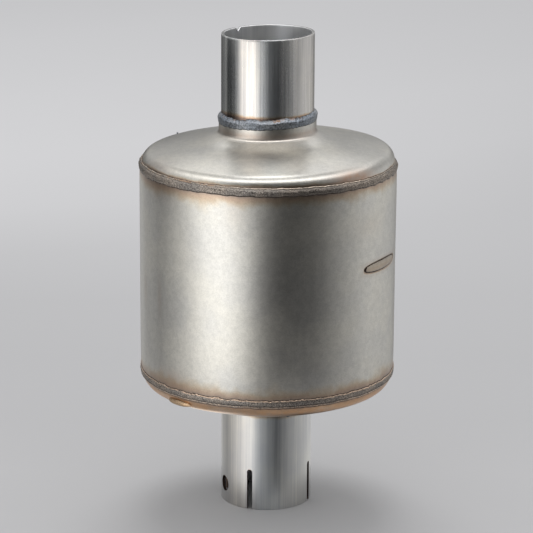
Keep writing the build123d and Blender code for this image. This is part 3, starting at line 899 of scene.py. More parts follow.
@dataclass
class Shell:
    """Rolled shell with its butt seam at the back and two plug welds."""

    seam_angle: float = 180.0
    seam_width: float = 4.6
    wave: float = 0.05
    pull: float = 0.22
    plugs: tuple[PlugWeld, ...] = (PlugWeld(62.0), PlugWeld(242.0))
    patches: tuple[Patch, ...] = (
        Patch(-54.0, 203.0, 14.0, 6.0, 0.35),
        Patch(-14.0, 199.0, 7.0, 12.0, 0.12),
        Patch(-46.0, 89.0, 12.0, 6.0, 0.45),
        Patch(-55.0, 137.0, 2.0, 12.0, 0.22),
        Patch(-70.0, 138.0, 3.0, 10.0, 0.22),
        Patch(34.0, 88.0, 12.0, 4.0, 0.20),
        Patch(50.0, 182.0, 12.0, 6.0, 0.10),
    )

    def __post_init__(self) -> None:
        """Takes the sizes from the CAD node."""
        self.radius, self.base, self.top = span_of("shell")
        self.inner = self.radius - SHELL_WALL

    def toe_heights(self, angle: Array) -> tuple[Array, Array]:
        """Heights of the toes of the lower and the upper bead, with two sizes of unevenness."""
        low = self.base + 3.2 + 0.16 * Ripple(11).around(angle, 8, 60)
        low += 0.10 * Ripple(12).around(angle, 60, 220)
        high = self.top - 3.3 + 0.14 * Ripple(13).around(angle, 8, 60)
        high += 0.07 * Ripple(14).around(angle, 60, 220)
        return low, high

    def mesh(self) -> bpy.types.Mesh:
        """The sheet: an outer skin, pulled in a little beside its welds, and an inner skin.

        The radius of the skin is the shell's, plus a slow wave, minus a pull that dies away from
        each bead, from the seam and round each plug weld.
        """
        dense = math.degrees(0.55 / self.radius)
        angle = np.radians(graded([
            (-180.0, 1.2), (-142.0, dense), (-94.0, 1.2), (38.0, dense), (86.0, 1.2),
        ], 180.0)[:-1])
        rows = graded([
            (self.base, 0.7), (self.base + 8.0, 1.6), (150.0, 0.5), (162.0, 1.6),
            (self.top - 8.0, 0.7),
        ], self.top)
        inner = np.linspace(self.top, self.base, 12)
        radius = np.concatenate([np.full(rows.size, self.radius), np.full(inner.size, self.inner)])
        turn, tall = np.meshgrid(angle, np.concatenate([rows, inner]), indexing="ij")
        low, high = self.toe_heights(angle)
        away = np.minimum(tall - low[:, None], high[:, None] - tall)
        skin = self.wave * Ripple(21).skin(turn, tall, 2, 6, 90.0)
        skin -= self.pull * np.exp(-np.maximum(away, 0.0) / 5.0)
        skin -= 0.15 * bell(arc_from(turn, self.seam_angle, self.radius), 7.0)
        stain_and_painted_light = sum(patch.on(turn, tall, self.radius) for patch in self.patches)
        for plug in self.plugs:
            off = plug.away(turn, tall, self.radius)
            skin -= 0.45 * bell(off, 0.42) + 0.12 * bell(np.maximum(off, 0.0), 4.0)
            stain_and_painted_light = stain_and_painted_light + 0.16 * bell(off - 1.6, 0.9)
            # Round each plug the toe distance is small, which paints the dark line of shade and
            # the tint round it.
            near = 0.2 + off * (1 + 8 * smooth(off, 0.3, 1.0))
            away = np.minimum(away, near)
        outside = np.arange(radius.size) < rows.size
        wide = radius + np.where(outside, skin, 0.0) - flat_side(turn)
        values = {"toe": away, "stain_and_painted_light": np.clip(stain_and_painted_light, 0.0, 1.0)}
        return ring_mesh("shell_skin", angle, wide, tall, values)

    def seam_mesh(self) -> bpy.types.Mesh:
        """The seam weld: a low bar with ripples shaped like arrows.

        Its rise is a parabola across it, times one plus a cosine of the height less a share of
        the distance from its middle, which bends each ripple.
        """
        rows = np.arange(self.base + 3.4, self.top - 3.4, 0.4)
        tall, wide = np.meshgrid(rows, np.linspace(-1.0, 1.0, 15), indexing="ij")
        phase = TAU * (tall - 0.9 * np.abs(wide)) / 1.9
        uneven = Ripple(31).skin(wide * 2, tall, 1, 6, 2.5)
        rise = (1 - wide**2) * (0.40 + 0.07 * np.cos(phase) + 0.025 * uneven)
        half = self.seam_width / 2 * (1 + 0.05 * Ripple(32).around(rows / 30, 3, 40))[:, None]
        under = (wide * half * 0.8)[:, ::-1]
        side = np.concatenate([wide * half, under], 1)
        radius = np.concatenate([self.radius - 0.12 + rise,
                                 np.full_like(under, self.radius - 0.8)], 1)
        turn = math.radians(self.seam_angle) + side / self.radius
        height = np.concatenate([tall, tall[:, ::-1]], 1)
        return bar_mesh("shell_seam_bead", about_z(radius, turn, height))

    def plug_mesh(self, index: int) -> bpy.types.Mesh:
        """One plug weld: a low crown inside the groove that the shell has round it."""
        plug = self.plugs[index]
        rings = tuple((share, self.radius + 0.16 - drop) for share, drop in rows_of(
            2, 0, 0, 0.14, 0, 0.28, 0, 0.42, 0, 0.55, 0, 0.66, 0, 0.75, 0.02, 0.83, 0.06, 0.9,
            0.15, 0.95, 0.34, 0.985, 0.6, 0.985, 1.1, 0.6, 1.12, 0.3, 1.12, 0, 1.12))
        mesh = lump_mesh(f"plug_weld_{index + 1}", (plug.angle, plug.height),
                         (plug.length - 0.5, plug.tall - 0.5), rings, 41 + index, 0.02)
        self.dress_plug(mesh, plug)
        return mesh

    def dress_plug(self, mesh: bpy.types.Mesh, plug: PlugWeld) -> None:
        """Gives a plug weld's mesh the numbers that its material reads.

        The distance from its outline makes the dark line of painted shade at its edge, and a
        streak along its middle is browner.
        """
        flat = np.empty(len(mesh.vertices) * 3, np.float32)
        mesh.vertices.foreach_get("co", flat)
        x, y, height = (flat.reshape(-1, 3) / MM).T
        angle, up = np.arctan2(x, -y), height - plug.height
        corner = arc_from(angle, plug.angle, self.radius) / plug.length
        corner = np.clip(-corner - up / plug.tall, 0.0, 1.0)
        give_values(mesh, {
            "toe": -plug.away(angle, height, self.radius) - 0.05 - 0.6 * corner,
            "stain_and_painted_light": 0.30 * bell(up + 0.4, 1.0),
        })


@dataclass
class Cap:
    """Domed end cap: skirt, shoulder, dome and neck, turned in one with its inside."""

    end: End
    shoulder: float
    dome: float
    shown: float
    patches: tuple[Patch, ...]
    wall: float = 1.5
    ring_offset: float = 1.6
    ring_rise: float = 2.75
    ring_spread: float = 4.5
    neck_top: float = 26.37
    lean: float = 0.0
    tuck: float = 0.0
    aside: float = 0.0

    def __post_init__(self) -> None:
        """Takes the sizes from the CAD nodes."""
        outlet = self.end is End.OUTLET
        self.node = "outlet_cap" if outlet else "inlet_cap"
        self.radius, low, high = span_of(self.node)
        self.radius -= self.tuck
        _, shell_low, shell_high = span_of("shell")
        self.edge = shell_high if outlet else shell_low
        self.base = self.edge + self.end.value * self.shown
        self.skirt = abs(self.base - (low if outlet else high))
        tube = span_of("outlet_tube")[0]
        self.neck_in = tube + NECK_CLEARANCE
        self.neck_out = self.neck_in + NECK_WALL
        self.middle = self.radius - self.shoulder
        self.reach = math.sqrt((self.dome - self.shoulder) ** 2 - self.middle**2)

    def rise(self, radius: float | Array, dome: float) -> float | Array:
        """Height of the dome over the shoulder's centre: the big circle's, less its offset."""
        return np.sqrt(dome**2 - radius**2) - self.reach

    def skirt_and_dome(self, skin: float, edge: float, step: float) -> Array:
        """Skirt, shoulder and dome at a depth below the outside, in to the radius edge."""
        shoulder, dome = self.shoulder - skin, self.dome - skin
        top = 90.0 - math.degrees(math.asin(self.middle / (self.dome - self.shoulder)))
        meet = self.middle + shoulder * math.cos(math.radians(top))
        outer = self.radius - skin
        count = max(2, math.ceil(abs(edge - meet) / (step * 1.8)))
        radius = meet + (edge - meet) * np.arange(count) / count
        return np.concatenate([
            straight((outer, -self.skirt), (outer, 0.0), 1.6),
            bend((self.middle, 0.0), shoulder, 0.0, top, step),
            np.stack([radius, self.rise(radius, dome)], 1),
        ])

    def outlet_neck(self) -> tuple[list[Array], float]:
        """The outlet cap's outside and its neck, and where its inner dome starts.

        The dome swells up to a coined ring round the neck: the swell is a bell curve of the
        distance from the ring's crest, to the power 1.2.
        """
        neck_in, neck_out = self.neck_in, self.neck_out
        crest = neck_out + self.ring_offset
        ridge = self.rise(crest, self.dome) + self.ring_rise
        neck_top = self.neck_top - self.shown
        foot = crest + 3.0 * self.ring_spread
        radii = np.linspace(foot, crest, 24, endpoint=False)
        swell = (self.ring_rise - 0.35) * np.exp(-(((radii - crest) / self.ring_spread) ** 1.2))
        under = ridge - self.wall + 3.5
        return [
            self.skirt_and_dome(0.0, foot, 0.8),
            np.stack([radii, self.rise(radii, self.dome) + swell], 1),
            through([
                (crest, ridge - 0.3), (crest - 0.35, ridge), (neck_out + 0.75, ridge + 0.4),
                (neck_out + 0.25, ridge + 1.2), (neck_out, ridge + 2.6), (neck_out, ridge + 3.6),
            ], 5),
            straight((neck_out, ridge + 3.6), (neck_out, neck_top), 1.5),
            straight((neck_out, neck_top), (neck_in, neck_top), 1.0),
            straight((neck_in, neck_top), (neck_in, under), 3.0),
            bend((neck_in + 3.5, under), 3.5, 180.0, 270.0, 1.0),
        ], crest + 4.0

    def inlet_neck(self) -> tuple[list[Array], float]:
        """The inlet cap's outside and its neck, drawn inwards, and where its inner dome starts."""
        neck_in, neck_out = self.neck_in, self.neck_out
        edge = neck_out + 3.0
        lip = self.rise(edge, self.dome)
        under = self.rise(edge, self.dome - self.wall) - 3.0
        deep = lip - 9.0
        return [
            self.skirt_and_dome(0.0, edge, 0.8),
            bend((edge, lip - 4.35), 4.35, 90.0, 180.0, 0.8),
            straight((neck_in, lip - 4.35), (neck_in, deep), 1.5),
            straight((neck_in, deep), (neck_out, deep), 1.0),
            straight((neck_out, deep), (neck_out, under), 1.5),
            bend((edge, under), 3.0, 180.0, 90.0, 1.0),
        ], edge

    def mesh(self) -> bpy.types.Mesh:
        """The cap, its dome leaned and set aside a little where it was welded in askew.

        The height gets the lean's slope times x, eased in above the skirt. The radius gets the
        shift times the sine of the angle, eased in away from the neck. The outside has a slow
        wave.
        """
        runs, meeting = self.outlet_neck() if self.end is End.OUTLET else self.inlet_neck()
        section = np.concatenate(runs + [self.skirt_and_dome(self.wall, meeting, 2.0)[::-1]])
        normal = outward(section)
        angle = even_angles(480)
        turn = np.broadcast_to(angle[:, None], (angle.size, len(section)))
        radius, local = (np.broadcast_to(section[:, axis], turn.shape) for axis in (0, 1))
        wave = 0.05 * Ripple(51).skin(turn, radius, 2, 7, 40.0)
        wave = wave * smooth(radius, 34.0, 45.0) * smooth(local, 0.0, 4.0)
        side = radius * np.sin(turn)
        shift = self.aside * np.sin(turn) - (flat_side(turn) if self.end is End.INLET else 0.0)
        radius = radius + wave * normal[:, 0] + shift * smooth(section[:, 0], 40.0, 60.0)
        local = local + wave * normal[:, 1]
        way = self.end.value
        slope = math.tan(math.radians(self.lean))
        height = self.base + way * local + slope * side * smooth(local, -3.0, 1.0)
        stain_and_painted_light = sum(patch.on(turn, height, self.radius) for patch in self.patches)
        values = {"toe": (height - self.toe_height(angle)[:, None]) * way,
                  "stain_and_painted_light": np.clip(stain_and_painted_light, 0.0, 1.0)}
        return ring_mesh(self.node + "_skin", angle, radius, height, values)

    def toe_height(self, angle: Array) -> Array:
        """Height of the bead's edge on the cap: a fixed height with two sizes of unevenness."""
        way = self.end.value
        reach = 1.5 - 0.25 * np.sin(angle) if self.end is End.OUTLET else 1.75
        uneven = 0.10 * Ripple(61 - way).around(angle, 6, 50)
        uneven += 0.05 * Ripple(64 - way).around(angle, 50, 200)
        return self.edge + way * (reach + uneven)


@dataclass
class CapBead:
    """Bead round the edge of the shell, from its toe on the shell to its edge on the cap.

    A face is (share of the way, rise over the shell) points, and a back is the heights beyond
    the edge of the points behind it. At the outlet the face ends in a thin lip, at the inlet it
    is two rolls.
    """

    cap: Cap
    shell: Shell
    grain: float = 0.075

    FACES = {
        End.OUTLET: rows_of(
            2, 0, 0, 0.05, 0.25, 0.15, 0.5, 0.32, 0.66, 0.5, 0.55, 0.64, 0.2, 0.76, -0.3, 0.84,
            -0.85, 0.88, -0.92, 0.92, -0.86, 0.96, -1.15, 1, -2),
        End.INLET: rows_of(
            2, 0, 0, 0.03, 0.18, 0.07, 0.24, 0.11, 0.14, 0.2, 0.22, 0.4, 0.3, 0.6, 0.2, 0.68,
            -0.08, 0.71, -0.14, 0.76, 0.04, 0.84, 0.06, 0.92, -0.25, 1, -0.95),
    }
    BACKS = {
        End.OUTLET: (-0.45, -1.0, -2.6, -3.2, -5.4),
        End.INLET: (-0.35, -0.8, -1.7, -2.2, -4.6),
    }
    # Painted shade round the outlet bead: (angle in degrees, darkening) pairs, darkest near 14
    # degrees, where the light falls least.
    SHADE_BY_ANGLE = rows_of(
        2, -10, 0, 0, 0.2, 14, 0.5, 28, 0.4, 40, 0.25, 60, 0.12, 110, 0.1, 180, 0)

    def marks(self, share: Array, degrees: Array) -> tuple[Array, Array, Array]:
        """Painted highlight on the lip and ridges, painted shade in dark lines at the toe, the
        edge, the grooves and the side away from the light, and rust over the face, each from 0 to
        1.

        Args:
            share: share of the way from the toe to the edge, shape (p,).
            degrees: angles round the bead, shape (a, 1).

        Returns:
            Three arrays that fit together to shape (a, p).
        """
        if self.cap.end is End.INLET:
            # Painted highlight on the lip and second roll, and painted shade in the groove between
            # the rolls and at the edge.
            highlight = bell(share - 0.06, 0.06) + 0.55 * bell(share - 0.84, 0.07)
            dark = bell(share - 0.71, 0.035) * 0.85 + smooth(share, 0.96, 1.0)
            return highlight, dark, 0 * share
        # Painted highlight along the lip, strongest from about 5 to 35 degrees, and painted shade
        # at the toe, under the lip and by angle.
        highlight = bell(share - 0.93, 0.045) * (
            0.35 + 0.65 * smooth(degrees, -20.0, 5.0) * smooth(degrees, 75.0, 35.0))
        dark = smooth(share, 0.08, 0.0) + 0.5 * bell(share - 0.85, 0.03)
        dark = dark + np.interp(degrees, *zip(*self.SHADE_BY_ANGLE)) * (1 - highlight)
        return highlight, dark, 0.5 * bell(share - 0.93, 0.06) * smooth(degrees, 10.0, -20.0)

    def mesh(self) -> bpy.types.Mesh:
        """The bead: its face from the toe to the edge, with grains of scale, and its back."""
        angle = even_angles(1440)
        end, shell = self.cap.end, self.shell.radius
        outlet = end is End.OUTLET
        toe = self.shell.toe_heights(angle)[1 if outlet else 0][:, None]
        edge = self.cap.toe_height(angle)[:, None]
        share = np.linspace(0.0, 1.0, 30)
        face_height = toe + (edge - toe) * share
        hump = np.interp(share, *zip(*self.FACES[end]))
        seed = 70 + end.value
        turn = np.broadcast_to(angle[:, None], face_height.shape)
        grains = Ripple(seed).skin(turn, face_height, 120, 460, 0.9, 36)
        swell = Ripple(seed + 5).skin(turn, face_height, 12, 70, 5.0)
        side = np.sin(turn)
        proud = 1 + side * np.where(side > 0, -0.08, 0.5) if outlet else 1.0
        face = shell + hump * np.where(hump > 0, proud, 1.0) + (
            self.grain * grains + 0.045 * swell) * np.sin(np.pi * np.clip(share, 0.03, 0.97))
        root = self.cap.radius - (0.55 if outlet else 0.0)
        back = np.array([root, root, root, shell - 0.6, shell - 0.6])
        radius = np.concatenate([face, np.broadcast_to(back, (angle.size, back.size))], 1)
        height = np.concatenate([face_height, edge + end.value * np.array(self.BACKS[end])], 1)
        degrees = np.degrees(arc_from(angle, 0.0, 1.0))[:, None]
        marks = self.marks(np.concatenate([share, np.ones(back.size)]), degrees)
        values = {key: np.broadcast_to(np.clip(mark, 0, 1), radius.shape)
                  for key, mark in zip(("lip", "line", "rusty"), marks)}
        radius = radius - flat_side(angle)[:, None]
        return ring_mesh(self.cap.node + "_bead", angle, radius, height, values, BEAD_SHARP)


@dataclass
class Tube:
    """Plain tube with rounded rims."""

    node: str
    rim: float = 0.35
    cut: float = 0.0
    nick_angle: float = -137.0
    nick_width: float = 3.6
    nick_depth: float = 0.0
    toe_at: float = 0.0
    toe_way: int = 1
    columns: int = 720

    def __post_init__(self) -> None:
        """Takes the sizes from the CAD node."""
        self.outer, self.base, self.top = span_of(self.node)
        self.inner = self.outer - TUBE_WALL

    def mesh(self) -> bpy.types.Mesh:
        """The tube.

        Near the top the height is lowered by the slope of a rim cut askew, and by a V-shaped
        nick; both die away down the tube.
        """
        rim, outer, inner, base, top = self.rim, self.outer, self.inner, self.base, self.top
        section = np.concatenate([
            bend((outer - rim, base + rim), rim, -90.0, 0.0, 0.12),
            straight((outer, base + rim), (outer, top - 12.0), 3.0),
            straight((outer, top - 12.0), (outer, top - rim), 0.8),
            bend((outer - rim, top - rim), rim, 0.0, 90.0, 0.12),
            straight((outer - rim, top), (inner + rim, top), 0.5),
            bend((inner + rim, top - rim), rim, 90.0, 180.0, 0.12),
            straight((inner, top - rim), (inner, top - 12.0), 0.8),
            straight((inner, top - 12.0), (inner, base + rim), 4.0),
            bend((inner + rim, base + rim), rim, 180.0, 270.0, 0.12),
            straight((inner + rim, base), (outer - rim, base), 0.5),
        ])
        angle = even_angles(self.columns)
        turn = np.broadcast_to(angle[:, None], (angle.size, len(section)))
        radius, height = (np.broadcast_to(section[:, axis], turn.shape) for axis in (0, 1))
        radius = radius + 0.03 * Ripple(81).skin(turn, height, 2, 5, 120.0)
        slope = smooth(height, top - 12.0, top) * math.tan(math.radians(self.cut))
        height = height + slope * (radius * np.sin(turn) - outer)
        off = np.abs(arc_from(turn, self.nick_angle, (outer + inner) / 2)) / (self.nick_width / 2)
        depth = self.nick_depth * np.clip(1 - off, 0.0, 1.0)
        height -= depth * smooth(section[:, 1], top - 4.0, top - rim)
        # The bore is paler: half way towards near-white all round, and fully in a bell round 161
        # degrees on the far side.
        far_side = bell(arc_from(turn, 161.0, inner), 6.0)
        values = {
            "toe": (height - self.toe_at) * self.toe_way,
            "bore": smooth(radius, inner + 0.5, inner) * (0.5 + 0.5 * far_side),
        }
        return ring_mesh(self.node + "_wall", angle, radius, height, values)


@dataclass
class ClampSlots:
    """Slots and cross hole at the rim of the inlet tube."""

    count: int = 4
    width: float = 3.4
    length: float = 25.0
    start: float = -21.0
    hole_angle: float = -66.0
    hole_height: float = 11.3
    hole_radius: float = 4.75
    radius: float = 26.4

    def prism(self, outline: Array, angle: float) -> Array:
        """Inner and outer face of a prism through the wall, at an angle in degrees."""
        turn = math.radians(angle)
        side = np.array([math.cos(turn), math.sin(turn), 0.0])
        face = outline[:, :1] * side + outline[:, 1:] * np.array([0.0, 0.0, 1.0])
        return np.stack([face + about_z(self.radius + depth, turn, 0.0) for depth in (-6, 6)])

    def mesh(self) -> bpy.types.Mesh:
        """Cutters for all the slots and the hole, as one mesh."""
        half = self.width / 2
        crown = np.radians(np.linspace(0, 180, 17))
        slot = np.concatenate([
            [[-half, -2.0], [half, -2.0]],
            np.stack([half * np.cos(crown), self.length - half + half * np.sin(crown)], 1),
        ])
        hole = self.hole_radius * np.stack([np.cos(even_angles(40)), np.sin(even_angles(40))], 1)
        cuts = [(slot, self.start + 360 / self.count * step) for step in range(self.count)]
        cuts.append((hole + [0.0, self.hole_height], self.hole_angle))
        return joined("slot_cutters", [self.prism(*cut) for cut in cuts], SHARP)


def joined(name: str, lumps: list[Array], sharp: float) -> bpy.types.Mesh:
    """One mesh of closed lumps, each a grid of rows with a flat face over its first and last.

    Args:
        name: name of the mesh.
        lumps: points in millimetres, each of shape (rows, points, 3).
        sharp: angle in degrees above which an edge is sharp.

    Returns:
        The mesh.
    """
    faces, offset = [], 0
    for lump in lumps:
        index = np.arange(lump.shape[0] * lump.shape[1]).reshape(lump.shape[:2]) + offset
        faces += quads_between(index).tolist() + [index[0][::-1].tolist(), index[-1].tolist()]
        offset += index.size
    points = np.concatenate([lump.reshape(-1, 3) for lump in lumps])
    return merged(mesh_from(name, points, faces, sharp), 0.001)


@dataclass
class NeckBead:
    """Bead between the outlet cap's neck and its tube, laid a little askew."""

    lean: float = 2.0

    def __post_init__(self) -> None:
        """Takes the sizes from the CAD nodes."""
        self.radius, self.base, self.top = span_of("outlet_tube_weld")
        self.tube = span_of("outlet_tube")[0]
        self.slope = math.tan(math.radians(self.lean))

    def upper_edge(self, angle: Array) -> Array:
        """Height of the bead's upper edge on the tube."""
        edge = self.top - 1.0 + 0.22 * Ripple(91).around(angle, 3, 18)
        edge += 0.14 * Ripple(92).around(angle, 20, 90)
        return edge + self.slope * self.tube * np.sin(angle)

    def mesh(self) -> bpy.types.Mesh:
        """The bead: a rounded band with grains, from the neck up to the tube."""
        angle = even_angles(960)
        share = np.linspace(0.0, 1.0, 22)
        upper = self.upper_edge(angle)[:, None]
        lower = self.base + 0.1 + self.slope * self.radius * np.sin(angle)[:, None]
        lower = lower + 0.10 * Ripple(93).around(angle, 8, 80)[:, None]
        height = lower + (upper - lower) * share
        neck = self.tube + NECK_CLEARANCE + NECK_WALL
        profile = neck + (self.tube - neck) * smooth(share, 0.55, 1.0)
        hump = 0.42 * np.sin(np.pi * share) ** 0.45 + 0.45 * smooth(share, 0.30, 0.85) * (
            1 - smooth(share, 0.88, 1.0))
        turn = np.broadcast_to(angle[:, None], height.shape)
        grains = Ripple(94).skin(turn, height, 40, 180, 1.3, 30)
        swell = Ripple(95).skin(turn, height, 6, 30, 5.0)
        face = np.sin(np.pi * np.clip(share, 0.04, 0.96))
        radius = profile + hump + (0.03 * grains + 0.035 * swell) * face
        radius = np.concatenate([radius, np.full((angle.size, 3), self.tube - 0.35)], 1)
        back = np.concatenate([upper - 0.1, (upper + lower) / 2, lower + 0.1], 1)
        shares = np.concatenate([share, [1.0, 0.5, 0.0]])
        front = bell(arc_from(angle, 2.0, self.tube), 13.0)[:, None]
        left = bell(arc_from(angle, -55.0, self.tube), 10.0)[:, None]
        values = {
            "lip": np.zeros(radius.shape),
            # painted shade: dark lines at the bead's lower and upper edges, in the creases
            "line": np.broadcast_to(smooth(shares, 0.09, 0.0) + 0.6 * smooth(shares, 0.97, 1.0),
                                    radius.shape),
            "rusty": np.clip((front + 0.35 * left) * smooth(shares, 0.72, 0.93), 0.0, 1.0),
        }
        height = np.concatenate([height, back], 1)
        return ring_mesh("outlet_tube_bead", angle, radius, height, values, BEAD_SHARP)


@dataclass
class InletBead:
    """Fillet bead under the inlet cap, with one drop that hangs from it."""

    drop_angle: float = 27.5
    drop_radius: float = 1.7

    def __post_init__(self) -> None:
        """Takes the sizes from the CAD nodes."""
        self.radius, self.low, self.high = span_of("inlet_tube_weld")
        self.tube = span_of("inlet_tube")[0]
        self.bottom = self.low + self.drop_radius * 1.6

    def mesh(self) -> bpy.types.Mesh:
        """The bead: a hollow fillet from the tube out to the cap's lip, with ripples."""
        angle = even_angles(720)
        share = np.linspace(0.0, 1.0, 14)
        turn, share = np.meshgrid(angle, share, indexing="ij")
        radius = self.tube + (self.radius - self.tube) * share
        height = self.bottom + (self.high - 2.4 - self.bottom) * share**0.8
        ripple = 0.10 * np.cos(turn * 96 + 3 * share) + 0.06 * Ripple(101).skin(
            turn, radius, 40, 140, 1.4)
        height = height - (ripple + 0.35) * np.sin(np.pi * np.clip(share, 0.05, 0.95))
        back = np.array([
            (self.radius - 0.6, self.high - 1.2), (self.tube + 0.6, self.high - 1.0),
            (self.tube - 0.3, self.high - 1.2), (self.tube - 0.3, self.bottom + 0.3)])
        radius, height = (
            np.concatenate([face, np.broadcast_to(back[:, axis], (angle.size, 4))], 1)
            for axis, face in ((0, radius), (1, height)))
        zero = np.zeros(radius.shape)
        return ring_mesh("inlet_tube_bead", angle, radius, height,
                         {"lip": zero, "line": zero, "rusty": zero + 0.25}, BEAD_SHARP)

    def drop_mesh(self) -> bpy.types.Mesh:
        """The drop: a ball drawn out upwards."""
        local, lean = ball(17, 24)
        local = local * self.drop_radius * 0.97
        local[..., 2] *= np.where(lean > math.pi / 2, 1.6, 1.0)
        centre = about_z(self.tube + self.drop_radius * 0.4, math.radians(self.drop_angle),
                         self.low + self.drop_radius)
        return bar_mesh("inlet_bead_drop", local + centre, LUMP_SHARP)


def spatter_mesh() -> bpy.types.Mesh:
    """Balls of weld spatter on the outlet cap, each a small closed ball sunk in the sheet."""
    places = ((-128.8, 69.9, 215.6, 0.55), (171.0, 72.4, 214.6, 0.4))
    return joined("weld_spatter", [
        ball(9, 12)[0] * size + about_z(radius, math.radians(angle), height)
        for angle, radius, height, size in places
    ], LUMP_SHARP)


@dataclass
class Arrestor:
    """The whole part: builds each piece and dresses the CAD nodes that stay."""

    effects: Effects

    def build(self) -> None:
        """Builds the sub-assemblies in order, from the body outwards."""
        bead = BeadFinish().material("weld_bead", self.effects)
        self.build_body(bead)
        dark_bead = BeadFinish(light=(0.35, 0.40, 0.46), dark=(0.13, 0.15, 0.175),
                               roughness=0.40, size=1.6, bump=0.45).material(
            "neck_weld_bead", self.effects)
        self.build_outlet_tube(dark_bead)
        self.build_inlet_tube(dark_bead)
        place(spatter_mesh(), dark_bead, Slot.WELD_METAL)
        self.dress_inside()

    def build_body(self, bead: bpy.types.Material) -> None:
        """Builds the shell, the two caps, their beads and the plug welds."""
        shell = Shell()
        outlet = Cap(End.OUTLET, shoulder=7.0, dome=280.0, shown=0.7, lean=0.9, tuck=0.3,
                     aside=0.3, patches=(
                         # This patch is brown tint, made strong enough to paint the shade on the
                         # lower right of the shoulder.
                         Patch(41.0, 211.5, 14.0, 3.4, 1.3),
                         Patch(-60.0, 213.0, 16.0, 3.0, 0.22),
                         Patch(0.0, 229.0, 200.0, 2.4, 0.50),
                     ))
        inlet = Cap(End.INLET, shoulder=7.0, dome=200.0, shown=1.4, patches=(
            # The second patch is below zero and takes tint away: a painted highlight on the
            # shoulder.
            Patch(0.0, 76.5, 300.0, 3.2, 0.75), Patch(-20.0, 76.5, 16.0, 4.0, -0.25)))
        sheet = SheetFinish().material("coated_sheet", self.effects)
        outlet_sheet = SheetFinish(
            tint_reach=2.5, stain_and_painted_light=(0.48, 0.345, 0.27), line_width=0.25,
        ).material("coated_sheet_outlet", self.effects)
        inlet_sheet = SheetFinish(
            tint_reach=7.0, stain_and_painted_light=(0.72, 0.40, 0.20), roughness=0.33, line_width=0.7,
        ).material("coated_sheet_inlet", self.effects)
        place(shell.mesh(), sheet, Slot.BODY_SHEET, "shell")
        place(outlet.mesh(), outlet_sheet, Slot.BODY_SHEET, "outlet_cap")
        place(inlet.mesh(), inlet_sheet, Slot.BODY_SHEET, "inlet_cap")

        place(CapBead(outlet, shell).mesh(), bead, Slot.WELD_METAL, "outlet_cap_weld")
        # The inlet bead's lip colour is a painted copper highlight.
        low_bead = BeadFinish(lip=(0.95, 0.70, 0.52)).material("weld_bead_inlet", self.effects)
        place(CapBead(inlet, shell).mesh(), low_bead, Slot.WELD_METAL, "inlet_cap_weld")
        self.build_run(inlet)
        place(shell.seam_mesh(), bead, Slot.WELD_METAL, "shell_seam_weld")
        plug = SheetFinish(
            light=(0.60, 0.57, 0.50), dark=(0.45, 0.42, 0.36), tint_strength=0.3, roughness=0.42,
        ).material("plug_weld_metal", self.effects)
        place(shell.plug_mesh(0), plug, Slot.WELD_METAL, "baffle_plug_welds")
        place(shell.plug_mesh(1), plug, Slot.WELD_METAL)

    def build_run(self, inlet: Cap) -> None:
        """Builds the run of metal that hung under the inlet cap's bead, at the front left."""
        rings = tuple((share, inlet.radius + rise) for share, rise in rows_of(
            2, 0, 1.45, 0.4, 1.3, 0.7, 0.9, 0.88, 0.35, 1, -0.6, 0.9, -1.6, 0, -1.7))
        gold = BeadFinish(light=(0.66, 0.50, 0.33), dark=(0.46, 0.33, 0.21),
                          roughness=0.40).material("weld_run", self.effects)
        place(lump_mesh("inlet_bead_run", (-43.0, 76.8), (18.0, 3.6), rings, 45, 0.08), gold,
              Slot.WELD_METAL)

    def build_outlet_tube(self, bead: bpy.types.Material) -> None:
        """Builds the outlet tube and the bead at its foot."""
        neck_bead = NeckBead()
        place(neck_bead.mesh(), bead, Slot.NECK_WELD_METAL, "outlet_tube_weld")
        tube = Tube("outlet_tube", cut=1.1, nick_depth=2.2, toe_at=neck_bead.top - 0.8)
        # The stripes paint the reflections round the outlet tube.
        steel = TubeFinish(tint_reach=2.8, reflection_stripes=rows_of(
            3, -90, 0.94, 0.01, -80, 0.8, 0, -70, 0.6, -0.01, -66, 0.65, -0.01, -63.5, 1.15, 0,
            -61, 1.1, 0, -58, 0.62, -0.02, -53, 0.64, -0.02, -48, 0.78, -0.01, -42, 0.88, 0, -37,
            0.98, 0.03, -34, 1.1, 0.05, -26, 1.04, 0.055, -15, 1.04, 0.05, -6, 1.02, -0.01, 2,
            1.05, -0.02, 10, 1.05, -0.02, 14, 0.95, -0.01, 17, 1, 0, 26, 0.9, 0.01, 31, 0.88, 0.02,
            33, 1, 0.02, 36, 0.86, 0.03, 45, 0.84, 0.035, 60, 0.94, 0.04, 74, 0.94, 0.04, 90, 0.94,
            0.01)).material("tube_steel_outlet", self.effects)
        place(tube.mesh(), steel, Slot.TUBE_STEEL, "outlet_tube")

